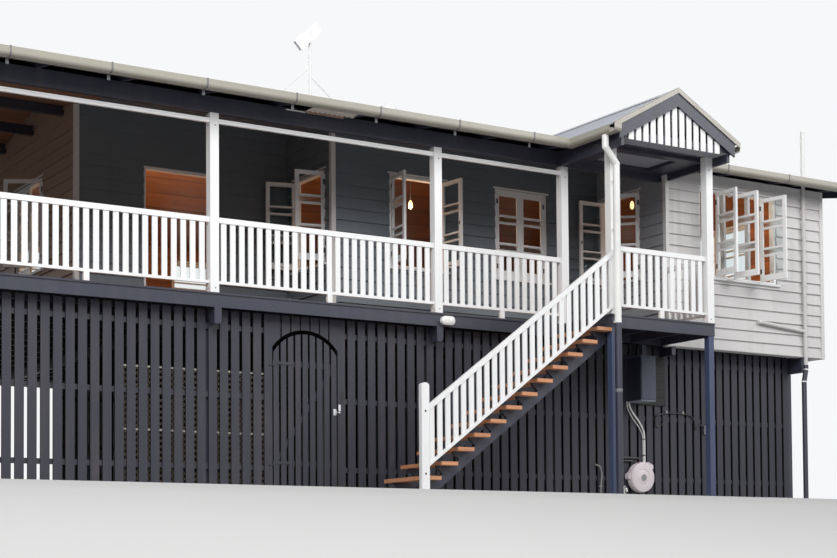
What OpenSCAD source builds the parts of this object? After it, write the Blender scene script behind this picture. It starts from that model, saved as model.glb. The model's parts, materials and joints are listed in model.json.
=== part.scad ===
// High-set timber house on stumps with a front veranda, a gabled entry porch,
// an open-tread stair, timber screens below the floor and an arched gate.
// Millimetres, Z up. The plan is laid out from the first full veranda post:
// X runs to the right along the front, Y runs back into the house.

/* [Heights] */
// Top of the floor above the ground
floor_z = 2600; // [2400:10:2800]
// Number of risers in the stair
risers = 13; // [12:1:14]
// Top of the handrail above the floor
rail_h = 1000; // [950:10:1100]
// Underside of the veranda beam above the floor
beam_clear = 2370; // [2300:10:2450]
// Depth of the veranda beam
beam_d = 220; // [180:5:240]
// Window heads above the floor
head_h = 2350; // [2250:10:2360]
// Window sills above the floor
sill_h = 930; // [850:10:1000]

/* [Plan] */
// Distance between the posts of a full veranda bay
bay_w = 3495; // [3200:5:3700]
// Distance between the last veranda post and the porch post
short_bay_w = 2255; // [2000:5:2500]
// Width of the porch over its posts
porch_w = 1957; // [1800:1:2200]
// How far the porch stands in front of the veranda
porch_d = 1156; // [1000:1:1400]
// Width of the front room
front_room_w = 3323; // [3000:1:3600]
// How far the front room stands in front of the veranda posts
front_room_out = 90; // [60:5:120]
// Depth of the house from the veranda posts to the back wall
house_d = 9790; // [9000:10:10500]
// Set-back of the middle wall from the veranda posts
mid_wall_y = 1620; // [1500:10:1800]
// Set-back of the inner wall from the veranda posts
inner_wall_y = 3040; // [2950:10:3300]
// Place of the middle room's side wall along the front
mid_wall_x = 2745; // [2650:5:2850]
// Place of the inner room's side wall, to the left of the first full post
deck_wall_x = 690; // [600:5:800]

/* [Walls and posts] */
// Wall thickness
wall_t = 120; // [100:5:140]
// Side of a white post
post_w = 125; // [100:5:140]
// Side of a stump
stump_w = 125; // [100:5:150]
// Thickness of the floor boards
board_t = 25; // [20:1:32]
// Depth of the edge beam and of the joists
edge_d = 193; // [170:1:220]
// Thickness of the edge beam
edge_t = 45; // [35:1:60]
// Depth of a bearer
bearer_d = 145; // [120:5:170]
// Thickness of a bearer
bearer_t = 75; // [60:5:90]

/* [Roof] */
// Pitch of the main roof
roof_pitch = 10; // [8:0.5:12]
// Pitch of the porch gable
gable_pitch = 29; // [27:0.5:31]
// Thickness of the roof sheets with their battens
sheet_t = 30; // [24:1:36]
// Depth of a rafter
rafter_d = 100; // [80:5:110]
// Thickness of a rafter
rafter_t = 45; // [35:5:60]
// How far the sheets run past the veranda posts
eave_out = 430; // [400:10:500]
// How far the sheets run past the end walls
verge_out = 450; // [350:10:550]
// How far the porch gable runs past the porch posts
gable_out = 370; // [300:10:420]
// How far the porch sheets run past the porch sides
gable_side_out = 205; // [180:5:230]
// Height of the gutter
gutter_h = 115; // [100:1:130]
// Width of the gutter
gutter_w = 125; // [110:1:140]

/* [Balustrades] */
// Distance between baluster centres, before the bay is divided evenly
baluster_pitch = 131; // [120:1:150]
// Width of a baluster
baluster_w = 76; // [60:1:80]
// Thickness of a baluster
baluster_t = 20; // [16:1:25]
// Depth of the top rail
top_rail_d = 72; // [60:1:85]
// Width of the rails
rail_t = 45; // [40:1:55]
// Depth of the bottom rail
bottom_rail_d = 38; // [30:1:50]
// Gap below the bottom rail
rail_gap = 122; // [90:1:150]

/* [Stair] */
// Going of one tread
going = 266; // [250:1:280]
// Depth of a tread
tread_d = 260; // [240:1:280]
// Thickness of a tread
tread_t = 50; // [38:1:60]
// Width of the stair
stair_w = 1050; // [900:10:1070]
// Depth of a stringer, measured upright
stringer_d = 155; // [130:5:200]

/* [Screens and gate] */
// Width of a screen batten
batten_w = 118; // [100:1:130]
// Gap between two screen battens
batten_gap = 42; // [30:1:55]
// Thickness of a batten
batten_t = 20; // [16:1:25]
// Set-back of the front screen from the veranda posts
screen_y = 200; // [180:5:260]
// Width of the gate leaf
gate_w = 970; // [900:5:1000]
// Rise of the gate's arched top
gate_rise = 270; // [200:5:320]
// Clear height from the crown of the gate to the edge beam
gate_head_gap = 237; // [180:1:320]
// Width of a gate slat
slat_w = 80; // [70:1:90]
// Number of gate slats
slats = 9; // [8:1:10]

/* [Hidden] */

// Small distance that lets a cutting shape pass right through
eps = 1;

// Clearance between the gate and what it swings past
gate_clear = 8;

// Levels
riser = floor_z / risers;
edge_z = floor_z - edge_d;
bearer_z = edge_z - bearer_d;
beam_z = floor_z + beam_clear;
beam_top = beam_z + beam_d;
head_z = floor_z + head_h;
sill_z = floor_z + sill_h;
deck_z = floor_z - board_t;
wall_z = edge_z - 20;
// Seam left between two pieces that bear on each other
seat = 0.3;

// Places along the front
x_left = -bay_w;
x_p2 = bay_w;
x_p3 = bay_w + short_bay_w;
x_room = x_p3 + porch_w;
x_right = x_room + front_room_w;
x_deck_wall = -deck_wall_x;
y_room = -front_room_out;
y_back = house_d;
y_porch = -porch_d;

// Roof planes: height of the top of the sheets
ridge_y = (y_back - front_room_out) / 2;
eave_back = 2 * ridge_y + eave_out;
rafter_top0 = beam_top + rafter_d;
function under_sheet(y) = rafter_top0 + (y < ridge_y ? y : 2 * ridge_y - y) * tan(roof_pitch);
function under_rafter(y) = under_sheet(y) - rafter_d / cos(roof_pitch);
function sheet_top(y) = under_sheet(y) + sheet_t / cos(roof_pitch);
gable_x = (x_p3 + x_room) / 2;
gable_half = porch_w / 2;
gable_run = gable_half + gable_side_out;
gable_rise = gable_run * tan(gable_pitch);
gable_front = y_porch - gable_out;
gable_eave_z = sheet_top(-eave_out) - sheet_t;
porch_beam_z = beam_z - 10;
// Level of the soffit in front of the porch posts, and of the bottom of the gable battens
gable_soffit_z = porch_beam_z + 140;

// Middle of the whole outline, which is moved to the origin
mid_x = (x_left + x_right) / 2;
mid_y = (gable_front - 48 + eave_back - 12 + gutter_w) / 2;
module site() { translate([-mid_x, -mid_y, 0]) children(); }

// Plain boxes given by their two corners
module block(a, b) { translate(a) cube([b[0] - a[0], b[1] - a[1], b[2] - a[2]]); }

timber_dark = "#3b3c46";
trim_white = "#f2f2f0";
board_grey = "#b9b6b2";
tread_brown = "#a5683f";
roof_grey = "#c9ccd2";
gutter_cream = "#d9d3c0";

// Thickness of the rails behind the battens of a screen
screen_rail_t = 35;

// Lines of stumps and bearers
bearer_xs = [x_left + post_w / 2, post_w / 2 + 30, x_p2 + post_w / 2, x_p3 + post_w / 2, x_room + 130, x_right - 430];
stump_ys = [screen_y + batten_t + screen_rail_t + seat, (y_back - 100) / 3, (y_back - 100) * 2 / 3, y_back - wall_t - stump_w];
end_bearer_d = 240;
function bearer_low(i) = i == len(bearer_xs) - 1 ? wall_z - end_bearer_d : bearer_z;

module stumps() site() color(timber_dark)
    for (i = [0 : len(bearer_xs) - 1], y = stump_ys)
        block([bearer_xs[i] - stump_w / 2, y, 0], [bearer_xs[i] + stump_w / 2, y + stump_w, bearer_low(i)]);

module bearers() site() color(timber_dark) {
    y_end = y_back - wall_t;
    for (i = [0 : 3])
        block([bearer_xs[i] - bearer_t / 2, 0, bearer_z], [bearer_xs[i] + bearer_t / 2, y_end, edge_z]);
    for (i = [4 : 5]) {
        block([bearer_xs[i] - bearer_t / 2, y_room + 10, bearer_low(i)], [bearer_xs[i] + bearer_t / 2, y_end, wall_z]);
        block([bearer_xs[i] - bearer_t / 2, y_room + wall_t, wall_z - eps], [bearer_xs[i] + bearer_t / 2, y_end, edge_z]);
    }
}

joist_pitch = 600;
joist_t = 45;
module floor_joists() site() color(timber_dark) {
    n = floor((y_back - wall_t - 60) / joist_pitch);
    for (k = [1 : n])
        block([x_left + edge_t, k * joist_pitch, edge_z], [x_right - wall_t, k * joist_pitch + joist_t, deck_z]);
    for (x = [x_p3 + porch_w / 3, x_p3 + porch_w * 2 / 3])
        block([x, y_porch + edge_t, edge_z], [x + joist_t, 0, deck_z]);
}

module edge_beams() site() color(timber_dark) {
    block([x_left, 0, edge_z], [x_room - edge_t - seat, edge_t, deck_z]);
    block([x_left, edge_t + seat, edge_z], [x_left + edge_t, y_back, deck_z]);
    block([x_left + edge_t + seat, y_back - edge_t, edge_z], [x_deck_wall, y_back, deck_z]);
    block([x_p3, y_porch, edge_z], [x_room, y_porch + edge_t, deck_z]);
    block([x_p3, y_porch + edge_t + seat, edge_z], [x_p3 + edge_t, -seat, deck_z]);
    block([x_room - edge_t, y_porch + edge_t + seat, edge_z], [x_room, edge_t, deck_z]);
}

leg_w = 100;
module porch_legs() site() color(timber_dark)
    for (x = [x_p3, x_room - leg_w - 10])
        block([x, y_porch + 10, 0], [x + leg_w, y_porch + 10 + leg_w, edge_z]);

nosing = 12;
module veranda_deck() site() color(tread_brown) {
    block([x_left - nosing, -nosing, deck_z], [x_room, mid_wall_y, floor_z]);
    block([x_left - nosing, mid_wall_y + seat, deck_z], [mid_wall_x, inner_wall_y, floor_z]);
    block([x_left - nosing, inner_wall_y + seat, deck_z], [x_deck_wall, y_back + nosing, floor_z]);
    block([x_p3 - nosing, y_porch - nosing, deck_z], [x_room, -nosing - seat, floor_z]);
}

module house_floor() site() color(tread_brown) {
    block([x_room + wall_t, y_room + wall_t, deck_z], [x_right - wall_t, mid_wall_y + wall_t - seat, floor_z]);
    block([mid_wall_x + wall_t, mid_wall_y + wall_t, deck_z], [x_right - wall_t, inner_wall_y + wall_t - seat, floor_z]);
    block([x_deck_wall + wall_t, inner_wall_y + wall_t, deck_z], [x_right - wall_t, y_back - wall_t, floor_z]);
}

module veranda_posts() site() color(trim_white)
    {
        for (x = [x_left, 0, x_p2, x_p3]) block([x, 0, floor_z], [x + post_w, post_w, beam_z]);
        for (y = [y_back / 3, y_back * 2 / 3, y_back - post_w])
            block([x_left, y, floor_z], [x_left + post_w, y + post_w, beam_z]);
    }

module porch_posts() site() color(trim_white)
    for (x = [x_p3, x_room - post_w])
        block([x, y_porch, floor_z], [x + post_w, y_porch + post_w, gable_soffit_z - seat]);

beam_t = 90;
// Level of the ceiling beams over the side deck, and the distance between them
ceiling_beam_z = floor_z + 3060;
tie_pitch = 1300;
module veranda_beams() site() color(timber_dark) {
    side_top = under_rafter(0) - seat;
    block([x_left, 0, beam_z], [x_room, beam_t, side_top]);
    block([x_left, y_back - beam_t, beam_z], [x_deck_wall, y_back, under_rafter(y_back) - seat]);
    block([x_left, beam_t + seat, beam_z], [x_left + beam_t, y_back - beam_t - seat, side_top]);
    for (y = [ridge_y - tie_pitch, ridge_y, ridge_y + tie_pitch]) {
        block([x_left, y - beam_t / 2, ceiling_beam_z],
            [x_deck_wall, y + beam_t / 2, under_rafter(ridge_y - tie_pitch - beam_t / 2) - seat]);
        block([x_left, y - beam_t / 2, side_top + seat], [x_left + beam_t, y + beam_t / 2, ceiling_beam_z - seat]);
    }
}

// White track for roll-down screens: two lips with a groove between them
track_d = 56;
track_drop = 70;
groove = 8;
module screen_track() site() color(trim_white)
    for (x = [[x_left + post_w, 0], [post_w, x_p2], [x_p2 + post_w, x_p3]]) difference() {
        block([x[0], 20, beam_z - track_drop - track_d], [x[1], 20 + rail_t, beam_z - track_drop]);
        block([x[0] - eps, 20 - eps, beam_z - track_drop - (track_d + groove) / 2],
            [x[1] + eps, 20 + groove, beam_z - track_drop - (track_d - groove) / 2]);
    }

porch_rafter_d = 100;
porch_beam_t = 50;
soffit_t = 20;
gable_frame_y = gable_front + 50;
porch_beam_top = gable_eave_z + (gable_side_out - porch_beam_t) * tan(gable_pitch)
    - porch_rafter_d / cos(gable_pitch) - 2 * seat;
// The side beams run past the outer faces of the posts to the gable, and carry the soffit between them
module porch_beams() site() color(timber_dark) {
    block([x_p3 - porch_beam_t, gable_frame_y, porch_beam_z], [x_p3, -seat, porch_beam_top]);
    block([x_room, gable_frame_y, porch_beam_z], [x_room + porch_beam_t, y_room - seat, porch_beam_top]);
    block([x_p3 + seat, gable_frame_y, gable_soffit_z + soffit_t], [x_room - seat, gable_frame_y + 40, porch_beam_top]);
    block([x_p3 + seat, gable_frame_y, gable_soffit_z],
        [x_room - seat, y_porch + post_w + 40, gable_soffit_z + soffit_t - seat]);
    block([x_p3 + seat, y_porch + 20, gable_soffit_z + soffit_t], [x_room - seat, y_porch + 20 + beam_t, porch_beam_top]);
}

// One straight balustrade of length l along X, its front face at y = 0
module balustrade(l) {
    n = max(1, round(l / baluster_pitch) - 1);
    gap = (l - n * baluster_w) / (n + 1);
    z0 = floor_z + rail_gap;
    z1 = floor_z + rail_h;
    block([0, 0, z1 - top_rail_d], [l, rail_t, z1]);
    block([0, 0, z0], [l, rail_t, z0 + bottom_rail_d]);
    for (k = [0 : n - 1])
        block([gap + k * (baluster_w + gap), (rail_t - baluster_t) / 2, z0 + bottom_rail_d - eps],
            [gap + k * (baluster_w + gap) + baluster_w, (rail_t + baluster_t) / 2, z1 - top_rail_d + eps]);
    block([l / 2 - baluster_w / 2, 0, floor_z], [l / 2 + baluster_w / 2, rail_t, z0 + eps]);
}
rail_in = (post_w - rail_t) / 2;
module rail_between(x0, x1, y) site() color(trim_white) translate([x0, y + rail_in, 0]) balustrade(x1 - x0);
module rail_back(x, y0, y1) site() color(trim_white) translate([x + rail_t, y0, 0]) rotate(90) balustrade(y1 - y0);

module veranda_balustrades() {
    rail_between(x_left + post_w, 0, 0);
    rail_between(post_w, x_p2, 0);
    rail_between(x_p2 + post_w, x_p3, 0);
}
module porch_balustrades() {
    rail_between(x_p3 + post_w, x_room - post_w, y_porch);
    rail_back(x_room - rail_t, y_porch + post_w, y_room + 60);
}
module deck_balustrades() {
    rail_back(x_left + rail_in, post_w, y_back / 3);
    rail_back(x_left + rail_in, y_back / 3 + post_w, y_back * 2 / 3);
    rail_back(x_left + rail_in, y_back * 2 / 3 + post_w, y_back - post_w);
    rail_between(x_left + post_w, x_deck_wall, y_back - post_w);
}

// Stair: it runs down to the left from the open side of the porch
nose_x = x_p3 - tread_d;
stair_y0 = y_porch;
module stair_treads() site() color(tread_brown)
    for (k = [0 : risers - 2])
        block([nose_x - k * going, stair_y0, floor_z - (k + 1) * riser - tread_t],
            [nose_x - k * going + tread_d, stair_y0 + stair_w, floor_z - (k + 1) * riser]);

module stringer() {
    slope = riser / going;
    x1 = x_p3;
    top1 = floor_z - riser - tread_t;
    rotate([90, 0, 0]) linear_extrude(50)
        polygon([[x1, top1], [x1, top1 - stringer_d], [x1 - (top1 - stringer_d) / slope, 0], [x1 - top1 / slope, 0]]);
    for (k = [0 : risers - 2]) {
        xr = nose_x - k * going + tread_d;
        zt = floor_z - (k + 1) * riser - tread_t;
        rotate([90, 0, 0]) linear_extrude(50)
            polygon([[xr, zt], [xr - tread_d + 20, zt], [xr - tread_d + 20, zt - 30],
                [xr - 90, max(0, zt - riser * 0.8)], [xr, zt - 20]]);
    }
}
module stair_stringers() site() color(timber_dark)
    for (y = [stair_y0 + 200, stair_y0 + stair_w - 150]) translate([0, y, 0]) stringer();

newel_x = nose_x - (risers - 2) * going - 90;
newel_w = 120;
newel_t = 70;
newel_h = 1430;
module newel_post() site() color(trim_white)
    translate([newel_x, stair_y0, 0]) rotate([90, 0, 0]) linear_extrude(newel_t) {
        square([newel_w, newel_h - 30]);
        intersection() {
            translate([newel_w / 2, newel_h - 75]) circle(r = 75, $fn = 48);
            square([newel_w, newel_h]);
        }
    }

module stair_balustrade() site() color(trim_white) {
    slope = riser / going;
    x0 = newel_x + newel_w;
    x1 = x_p3 + 40;
    z1 = floor_z + rail_h - 60;
    zb = floor_z + rail_gap;
    rise = (x1 - x0) * slope;
    l = x1 - x0;
    n = round(l / 128);
    translate([0, stair_y0, 0]) {
        rotate([90, 0, 0]) linear_extrude(rail_t) {
            polygon([[x0, z1 - rise], [x1, z1], [x1, z1 - 88], [x0, z1 - rise - 88]]);
            polygon([[x0, zb - rise + 40], [x1, zb + 40], [x1, zb - 8], [x0, zb - rise - 8]]);
        }
        for (k = [0 : n - 1]) {
            x = x0 + (k + 0.5) * l / n - baluster_w / 2;
            translate([0, -(rail_t - baluster_t) / 2, 0]) rotate([90, 0, 0]) linear_extrude(baluster_t)
                polygon([[x, zb - (x1 - x) * slope + 20], [x + baluster_w, zb - (x1 - x - baluster_w) * slope + 20],
                    [x + baluster_w, z1 - (x1 - x - baluster_w) * slope - 44], [x, z1 - (x1 - x) * slope - 44]]);
        }
    }
}

// Windows stand in wall openings: [start along the wall, width]
win_f = [673, 1650];
win_d1 = [975, 1020];
win_d2 = [2915, 1020];
win_side_mid = [80, 1020];
win_side_room = [490, 1020];
win_deck = [1240, 1280];
wins_right = [[1500, 1650], [5200, 1650], [7700, 1020]];
wins_back = [[1300, 1020], [4300, 1650], [8300, 1650]];
door = [1040, 1200];

// A wall panel of length l and height h(x) with window openings cut through
module wall_panel(l, h0, h1, wins, low = deck_z) {
    difference() {
        rotate([90, 0, 0]) translate([0, 0, -wall_t]) linear_extrude(wall_t)
            polygon([[0, low], [l, low], [l, h1], [0, h0]]);
        for (w = wins) block([w[0], -eps, sill_z], [w[0] + w[1], wall_t + eps, head_z]);
    }
}
function wall_top(y) = under_rafter(y) - seat;

module front_room_wall() site() color(board_grey)
    translate([x_room, y_room, 0]) wall_panel(front_room_w, wall_top(y_room), wall_top(y_room), [win_f], wall_z);

// Side walls rise with the roof, so their top follows the rafters
module side_wall(x, y0, y1, wins, low = deck_z) {
    peak = y0 < ridge_y && y1 > ridge_y ? [[ridge_y, wall_top(ridge_y)]] : [];
    difference() {
        translate([x, 0, 0]) rotate([90, 0, 90]) linear_extrude(wall_t)
            polygon(concat([[y0, low], [y1, low], [y1, wall_top(y1)]], peak, [[y0, wall_top(y0)]]));
        for (w = wins) block([x - eps, y0 + w[0], sill_z], [x + wall_t + eps, y0 + w[0] + w[1], head_z]);
    }
}
module front_room_side_wall() site() color(board_grey) side_wall(x_room, y_room + wall_t, mid_wall_y, [win_side_room]);
module middle_wall() site() color(board_grey)
    translate([mid_wall_x, mid_wall_y, 0]) wall_panel(x_room + wall_t - mid_wall_x, wall_top(mid_wall_y), wall_top(mid_wall_y), [win_d1, win_d2]);
module middle_side_wall() site() color(board_grey) side_wall(mid_wall_x, mid_wall_y + wall_t, inner_wall_y, [win_side_mid]);
module inner_wall_left() site() color(board_grey)
    translate([x_deck_wall, inner_wall_y, 0]) wall_panel(door[0], wall_top(inner_wall_y), wall_top(inner_wall_y), []);
module inner_wall_right() site() color(board_grey)
    translate([x_deck_wall + door[0] + door[1], inner_wall_y, 0])
        wall_panel(mid_wall_x + wall_t - x_deck_wall - door[0] - door[1], wall_top(inner_wall_y), wall_top(inner_wall_y), []);
module inner_wall_head() site() color(board_grey)
    block([x_deck_wall + door[0], inner_wall_y, head_z], [x_deck_wall + door[0] + door[1], inner_wall_y + wall_t, wall_top(inner_wall_y)]);
module deck_wall() site() color(board_grey) side_wall(x_deck_wall, inner_wall_y + wall_t, y_back, [win_deck]);
module right_wall() site() color(board_grey) side_wall(x_right - wall_t, y_room + wall_t, y_back, wins_right, wall_z);
module back_wall() site() color(board_grey)
    translate([x_deck_wall + wall_t, y_back - wall_t, 0])
        wall_panel(x_right - x_deck_wall - 2 * wall_t, wall_top(y_back), wall_top(y_back), wins_back, wall_z);

// Window frame that fills an opening w wide, its outer face at y = 0
frame_t = 40;
sash_t = 38;
stile = 56;
pane_t = 5;
win_h = head_z - sill_z;
sash_h = win_h - 2 * frame_t;
module window_frame(w, mullions = []) {
    difference() {
        block([0, 10, sill_z], [w, wall_t - 10, head_z]);
        block([frame_t, 0, sill_z + frame_t], [w - frame_t, wall_t, head_z - frame_t]);
    }
    for (x = mullions) block([x - 22, 20, sill_z + frame_t - eps], [x + 22, wall_t - 20, head_z - frame_t + eps]);
    block([-40, -60, sill_z - 30], [w + 40, 0, sill_z + 5]);
    block([0, -60, sill_z], [w, 11, sill_z + 5]);
    block([-30, -20, head_z], [w + 30, 0, head_z + 25]);
}

// Heights of the five lights of a sash h high: tall, narrow, tall, narrow, tall
bar = 26;
narrow = 86;
low_rail = 92;
function light_h(k, h) = k % 2 == 1 ? narrow : (h - stile - low_rail - 4 * bar - 2 * narrow) / 3;
function light_z(k, h) = k == 0 ? low_rail : light_z(k - 1, h) + light_h(k - 1, h) + bar;

// Sash w wide and h high with its hinged edge at x = 0, and the pane in its groove
module sash(w, h = sash_h) difference() {
    cube([w, sash_t, h]);
    for (k = [0 : 4]) translate([stile, -eps, light_z(k, h)]) cube([w - 2 * stile, sash_t + 2 * eps, light_h(k, h)]);
    pane(w, h);
}
module pane(w, h = sash_h) translate([stile - 8, (sash_t - pane_t) / 2, low_rail - 8])
    cube([w - 2 * stile + 16, pane_t, h - stile - low_rail + 16]);

// Sash, or its pane, on two hinges at x and turned out by an angle
hinge_gap = 1.5;
hinge_r = 8;
hinge_h = 70;
module hung(x, w, turn, left, glass) {
    translate([x, 10, sill_z + frame_t]) rotate(left ? -turn : turn) translate([left ? hinge_gap : hinge_gap - w, 0, 0])
        if (glass) pane(w - 2 * hinge_gap); else sash(w - 2 * hinge_gap);
    if (!glass) for (z = [0.14, 0.81])
        translate([x, 10, sill_z + frame_t + z * sash_h]) cylinder(r = hinge_r, h = hinge_h, $fn = 12);
}

// Window with a pair of sashes
module window_pair(w, turn_left, turn_right, glass = false) {
    half = w / 2 - frame_t;
    if (!glass) window_frame(w);
    hung(frame_t, half, turn_left, true, glass);
    hung(w - frame_t, half, turn_right, false, glass);
}
// Casement on sliding stays: its hinged edge stands off the frame
stay_h = 10;
stay_x0 = 6;
stay_x1 = 31;
stay_low = sill_z + 5 + stay_h;
stay_high = head_z - 77;
module stayed(x, y, w, turn, glass) {
    translate([x, y, stay_low]) rotate(-turn)
        if (glass) pane(w, stay_high - stay_low); else sash(w, stay_high - stay_low);
    if (!glass) {
        block([x + stay_x0, y - 40, sill_z + 5 - eps], [x + stay_x1, -eps, stay_low + eps]);
        block([x + stay_x0, y - 40, stay_high - eps], [x + stay_x1, 60, stay_high + stay_h]);
        block([x + stay_x0, 20, stay_high + stay_h - eps], [x + stay_x1, 60, head_z - frame_t + eps]);
    }
}
// Window with three sashes, each on stays: place along the wall and angle of each
front_sash_w = 490;
front_sash_out = 70;
front_sashes = [[287, 93], [663, 84], [1229, 78]];
module window_triple(w, glass = false) {
    third = (w - 2 * frame_t) / 3;
    if (!glass) window_frame(w, [frame_t + third, frame_t + 2 * third]);
    for (s = front_sashes) stayed(s[0], -front_sash_out, front_sash_w, s[1], glass);
}
module in_front_room(glass) site() translate([x_room + win_f[0], y_room, 0]) window_triple(win_f[1], glass);
module in_front_room_side(glass) site()
    translate([x_room, y_room + wall_t + win_side_room[0] + win_side_room[1], 0]) rotate(-90) window_pair(win_side_room[1], 92, 45, glass);
module in_middle_wall(glass) site() translate([mid_wall_x, mid_wall_y, 0]) {
    translate([win_d1[0], 0, 0]) window_pair(win_d1[1], 97, 97, glass);
    translate([win_d2[0], 0, 0]) window_pair(win_d2[1], 0, 0, glass);
}
module in_middle_side(glass) site()
    translate([mid_wall_x, mid_wall_y + wall_t + win_side_mid[0] + win_side_mid[1], 0]) rotate(-90) window_pair(win_side_mid[1], 105, 80, glass);
module in_deck_wall(glass) site()
    translate([x_deck_wall, inner_wall_y + wall_t + win_deck[0] + win_deck[1], 0]) rotate(-90) window_pair(win_deck[1], 0, 60, glass);
module in_right_wall(glass) site()
    for (w = wins_right) translate([x_right, y_room + wall_t + w[0], 0]) rotate(90) window_pair(w[1], 0, 0, glass);
module in_back_wall(glass) site()
    for (w = wins_back) translate([x_deck_wall + wall_t + w[0] + w[1], y_back, 0]) rotate(180) window_pair(w[1], 0, 0, glass);

module front_room_window() color(trim_white) in_front_room(false);
module front_room_side_window() color(trim_white) in_front_room_side(false);
module middle_wall_windows() color(trim_white) in_middle_wall(false);
module middle_side_window() color(trim_white) in_middle_side(false);
module deck_window() color(trim_white) in_deck_wall(false);
module right_windows() color(trim_white) in_right_wall(false);
module back_windows() color(trim_white) in_back_wall(false);
module window_glass() color("#9fb4b8") {
    in_front_room(true);
    in_front_room_side(true);
    in_middle_wall(true);
    in_middle_side(true);
    in_deck_wall(true);
    in_right_wall(true);
    in_back_wall(true);
}

module doorway_frame() site() color(trim_white) translate([x_deck_wall + door[0], inner_wall_y, 0]) {
    block([0, 5, floor_z + seat], [frame_t, wall_t - 5, head_z - frame_t - seat]);
    block([door[1] - frame_t, 5, floor_z + seat], [door[1], wall_t - 5, head_z - frame_t - seat]);
    block([0, 5, head_z - frame_t], [door[1], wall_t - 5, head_z]);
    block([0, 0, deck_z], [door[1], wall_t, floor_z]);
}

// Roof slabs follow the section of the roof
module roof_slab(y0, y1) {
    translate([x_left - verge_out, 0, 0]) rotate([90, 0, 90]) linear_extrude(x_right - x_left + 2 * verge_out)
        polygon([[y0, under_sheet(y0)], [y1, under_sheet(y1)], [y1, sheet_top(y1)], [y0, sheet_top(y0)]]);
}
stack = [x_right - 430, y_room - 60];
stack_d = 80;
stack_above = 816;
module main_roof_front() site() color(roof_grey) difference() {
    roof_slab(-eave_out, ridge_y);
    translate([stack[0], stack[1], beam_z]) cylinder(d = stack_d + 2 * seat, h = stack_above, $fn = 24);
}
module main_roof_back() site() color(roof_grey) roof_slab(ridge_y, eave_back);

// Section of the porch gable, with x measured from its ridge
module gable_section(t) {
    drop = t / cos(gable_pitch);
    polygon([[-gable_run, gable_eave_z], [0, gable_eave_z + gable_rise], [gable_run, gable_eave_z],
        [gable_run, gable_eave_z + drop], [0, gable_eave_z + gable_rise + drop], [-gable_run, gable_eave_z + drop]]);
}
// Space at and below the top of the front roof slope
module below_main_roof(lift = seat) translate([x_left, 0, 0]) rotate([90, 0, 90]) linear_extrude(x_right - x_left)
    polygon([[-eave_out, 0], [ridge_y, 0], [ridge_y, sheet_top(ridge_y) + lift], [-eave_out, sheet_top(-eave_out) + lift]]);
// Two slopes with a seam along the ridge
module porch_roof() site() color(roof_grey) difference() {
    translate([gable_x, ridge_y, 0]) rotate([90, 0, 0]) linear_extrude(ridge_y - gable_front) gable_section(sheet_t);
    below_main_roof();
    block([gable_x - seat / 2, gable_front - eps, 0], [gable_x + seat / 2, ridge_y, 9000]);
}

// Piece of timber d deep under the roof from y0 to y1, t thick from x
module under_roof(x, t, d, y0, y1) translate([x, 0, 0]) rotate([90, 0, 90]) linear_extrude(t)
    polygon([[y0, under_sheet(y0) - seat - d], [y1, under_sheet(y1) - seat - d],
        [y1, under_sheet(y1) - seat], [y0, under_sheet(y0) - seat]]);
rafter_pitch = 1115;
module rafters() site() color(timber_dark) {
    n = round((x_right - x_left) / rafter_pitch);
    for (k = [0 : n]) {
        x = x_left + 20 + k * (x_right - x_left - 40 - rafter_t) / n;
        under_roof(x, rafter_t, rafter_d / cos(roof_pitch) - seat, gutter_y + fascia_t + seat, ridge_y - seat / 2);
        under_roof(x, rafter_t, rafter_d / cos(roof_pitch) - seat, ridge_y + seat / 2, eave_back - 12 - fascia_t - seat);
    }
    for (y = [gable_frame_y + 45, y_porch + 150, y_porch + 550], side = [0, 1])
        translate([gable_x, y + 40, 0]) mirror([side, 0, 0]) porch_rafter();
}
// Right rafter under the porch roof, which carries the side gutter at its foot
module porch_rafter() {
    drop = porch_rafter_d / cos(gable_pitch);
    reach = porch_gutter_x - seat;
    z = gable_eave_z + (gable_run - reach) * tan(gable_pitch) - seat;
    apex = gable_eave_z + gable_rise - seat;
    rotate([90, 0, 0]) linear_extrude(40)
        polygon([[seat / 2, apex - drop], [reach, z - drop], [reach, z], [seat / 2, apex]]);
}

barge_d = 190;
barge_run = gable_half + 113;
// Two boards that meet at the apex
module barge_boards() site() color(timber_dark)
    translate([gable_x, gable_front + 30, 0]) rotate([90, 0, 0]) linear_extrude(30) difference() {
        translate([0, -(barge_d + 8) / cos(gable_pitch)]) gable_section(barge_d);
        translate([-gable_run - 500, 0]) square([500 + gable_run - barge_run, 9000]);
        translate([barge_run, 0]) square([500, 9000]);
        translate([-seat / 2, 0]) square([seat, 9000]);
    }
gable_batten_n = 13;
gable_batten_w = 86;
// The battens are set out from the left, which leaves more room on the right
gable_margin = 330;
gable_shift = 42;
module gable_battens() site() color(trim_white) {
    pitch = (porch_w - gable_margin) / (gable_batten_n - 1);
    z0 = gable_soffit_z - 40;
    for (k = [0 : gable_batten_n - 1]) {
        x = gable_x - gable_shift + (k - (gable_batten_n - 1) / 2) * pitch;
        d0 = abs(x - gable_batten_w / 2 - gable_x);
        d1 = abs(x + gable_batten_w / 2 - gable_x);
        top0 = gable_eave_z + (gable_run - d0) * tan(gable_pitch) - barge_d / cos(gable_pitch) + 40;
        top1 = gable_eave_z + (gable_run - d1) * tan(gable_pitch) - barge_d / cos(gable_pitch) + 40;
        translate([0, gable_frame_y - seat, 0]) rotate([90, 0, 0]) linear_extrude(20 - 2 * seat)
            polygon([[x - gable_batten_w / 2, z0], [x + gable_batten_w / 2, z0], [x + gable_batten_w / 2, top1], [x - gable_batten_w / 2, top0]]);
    }
}

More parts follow.
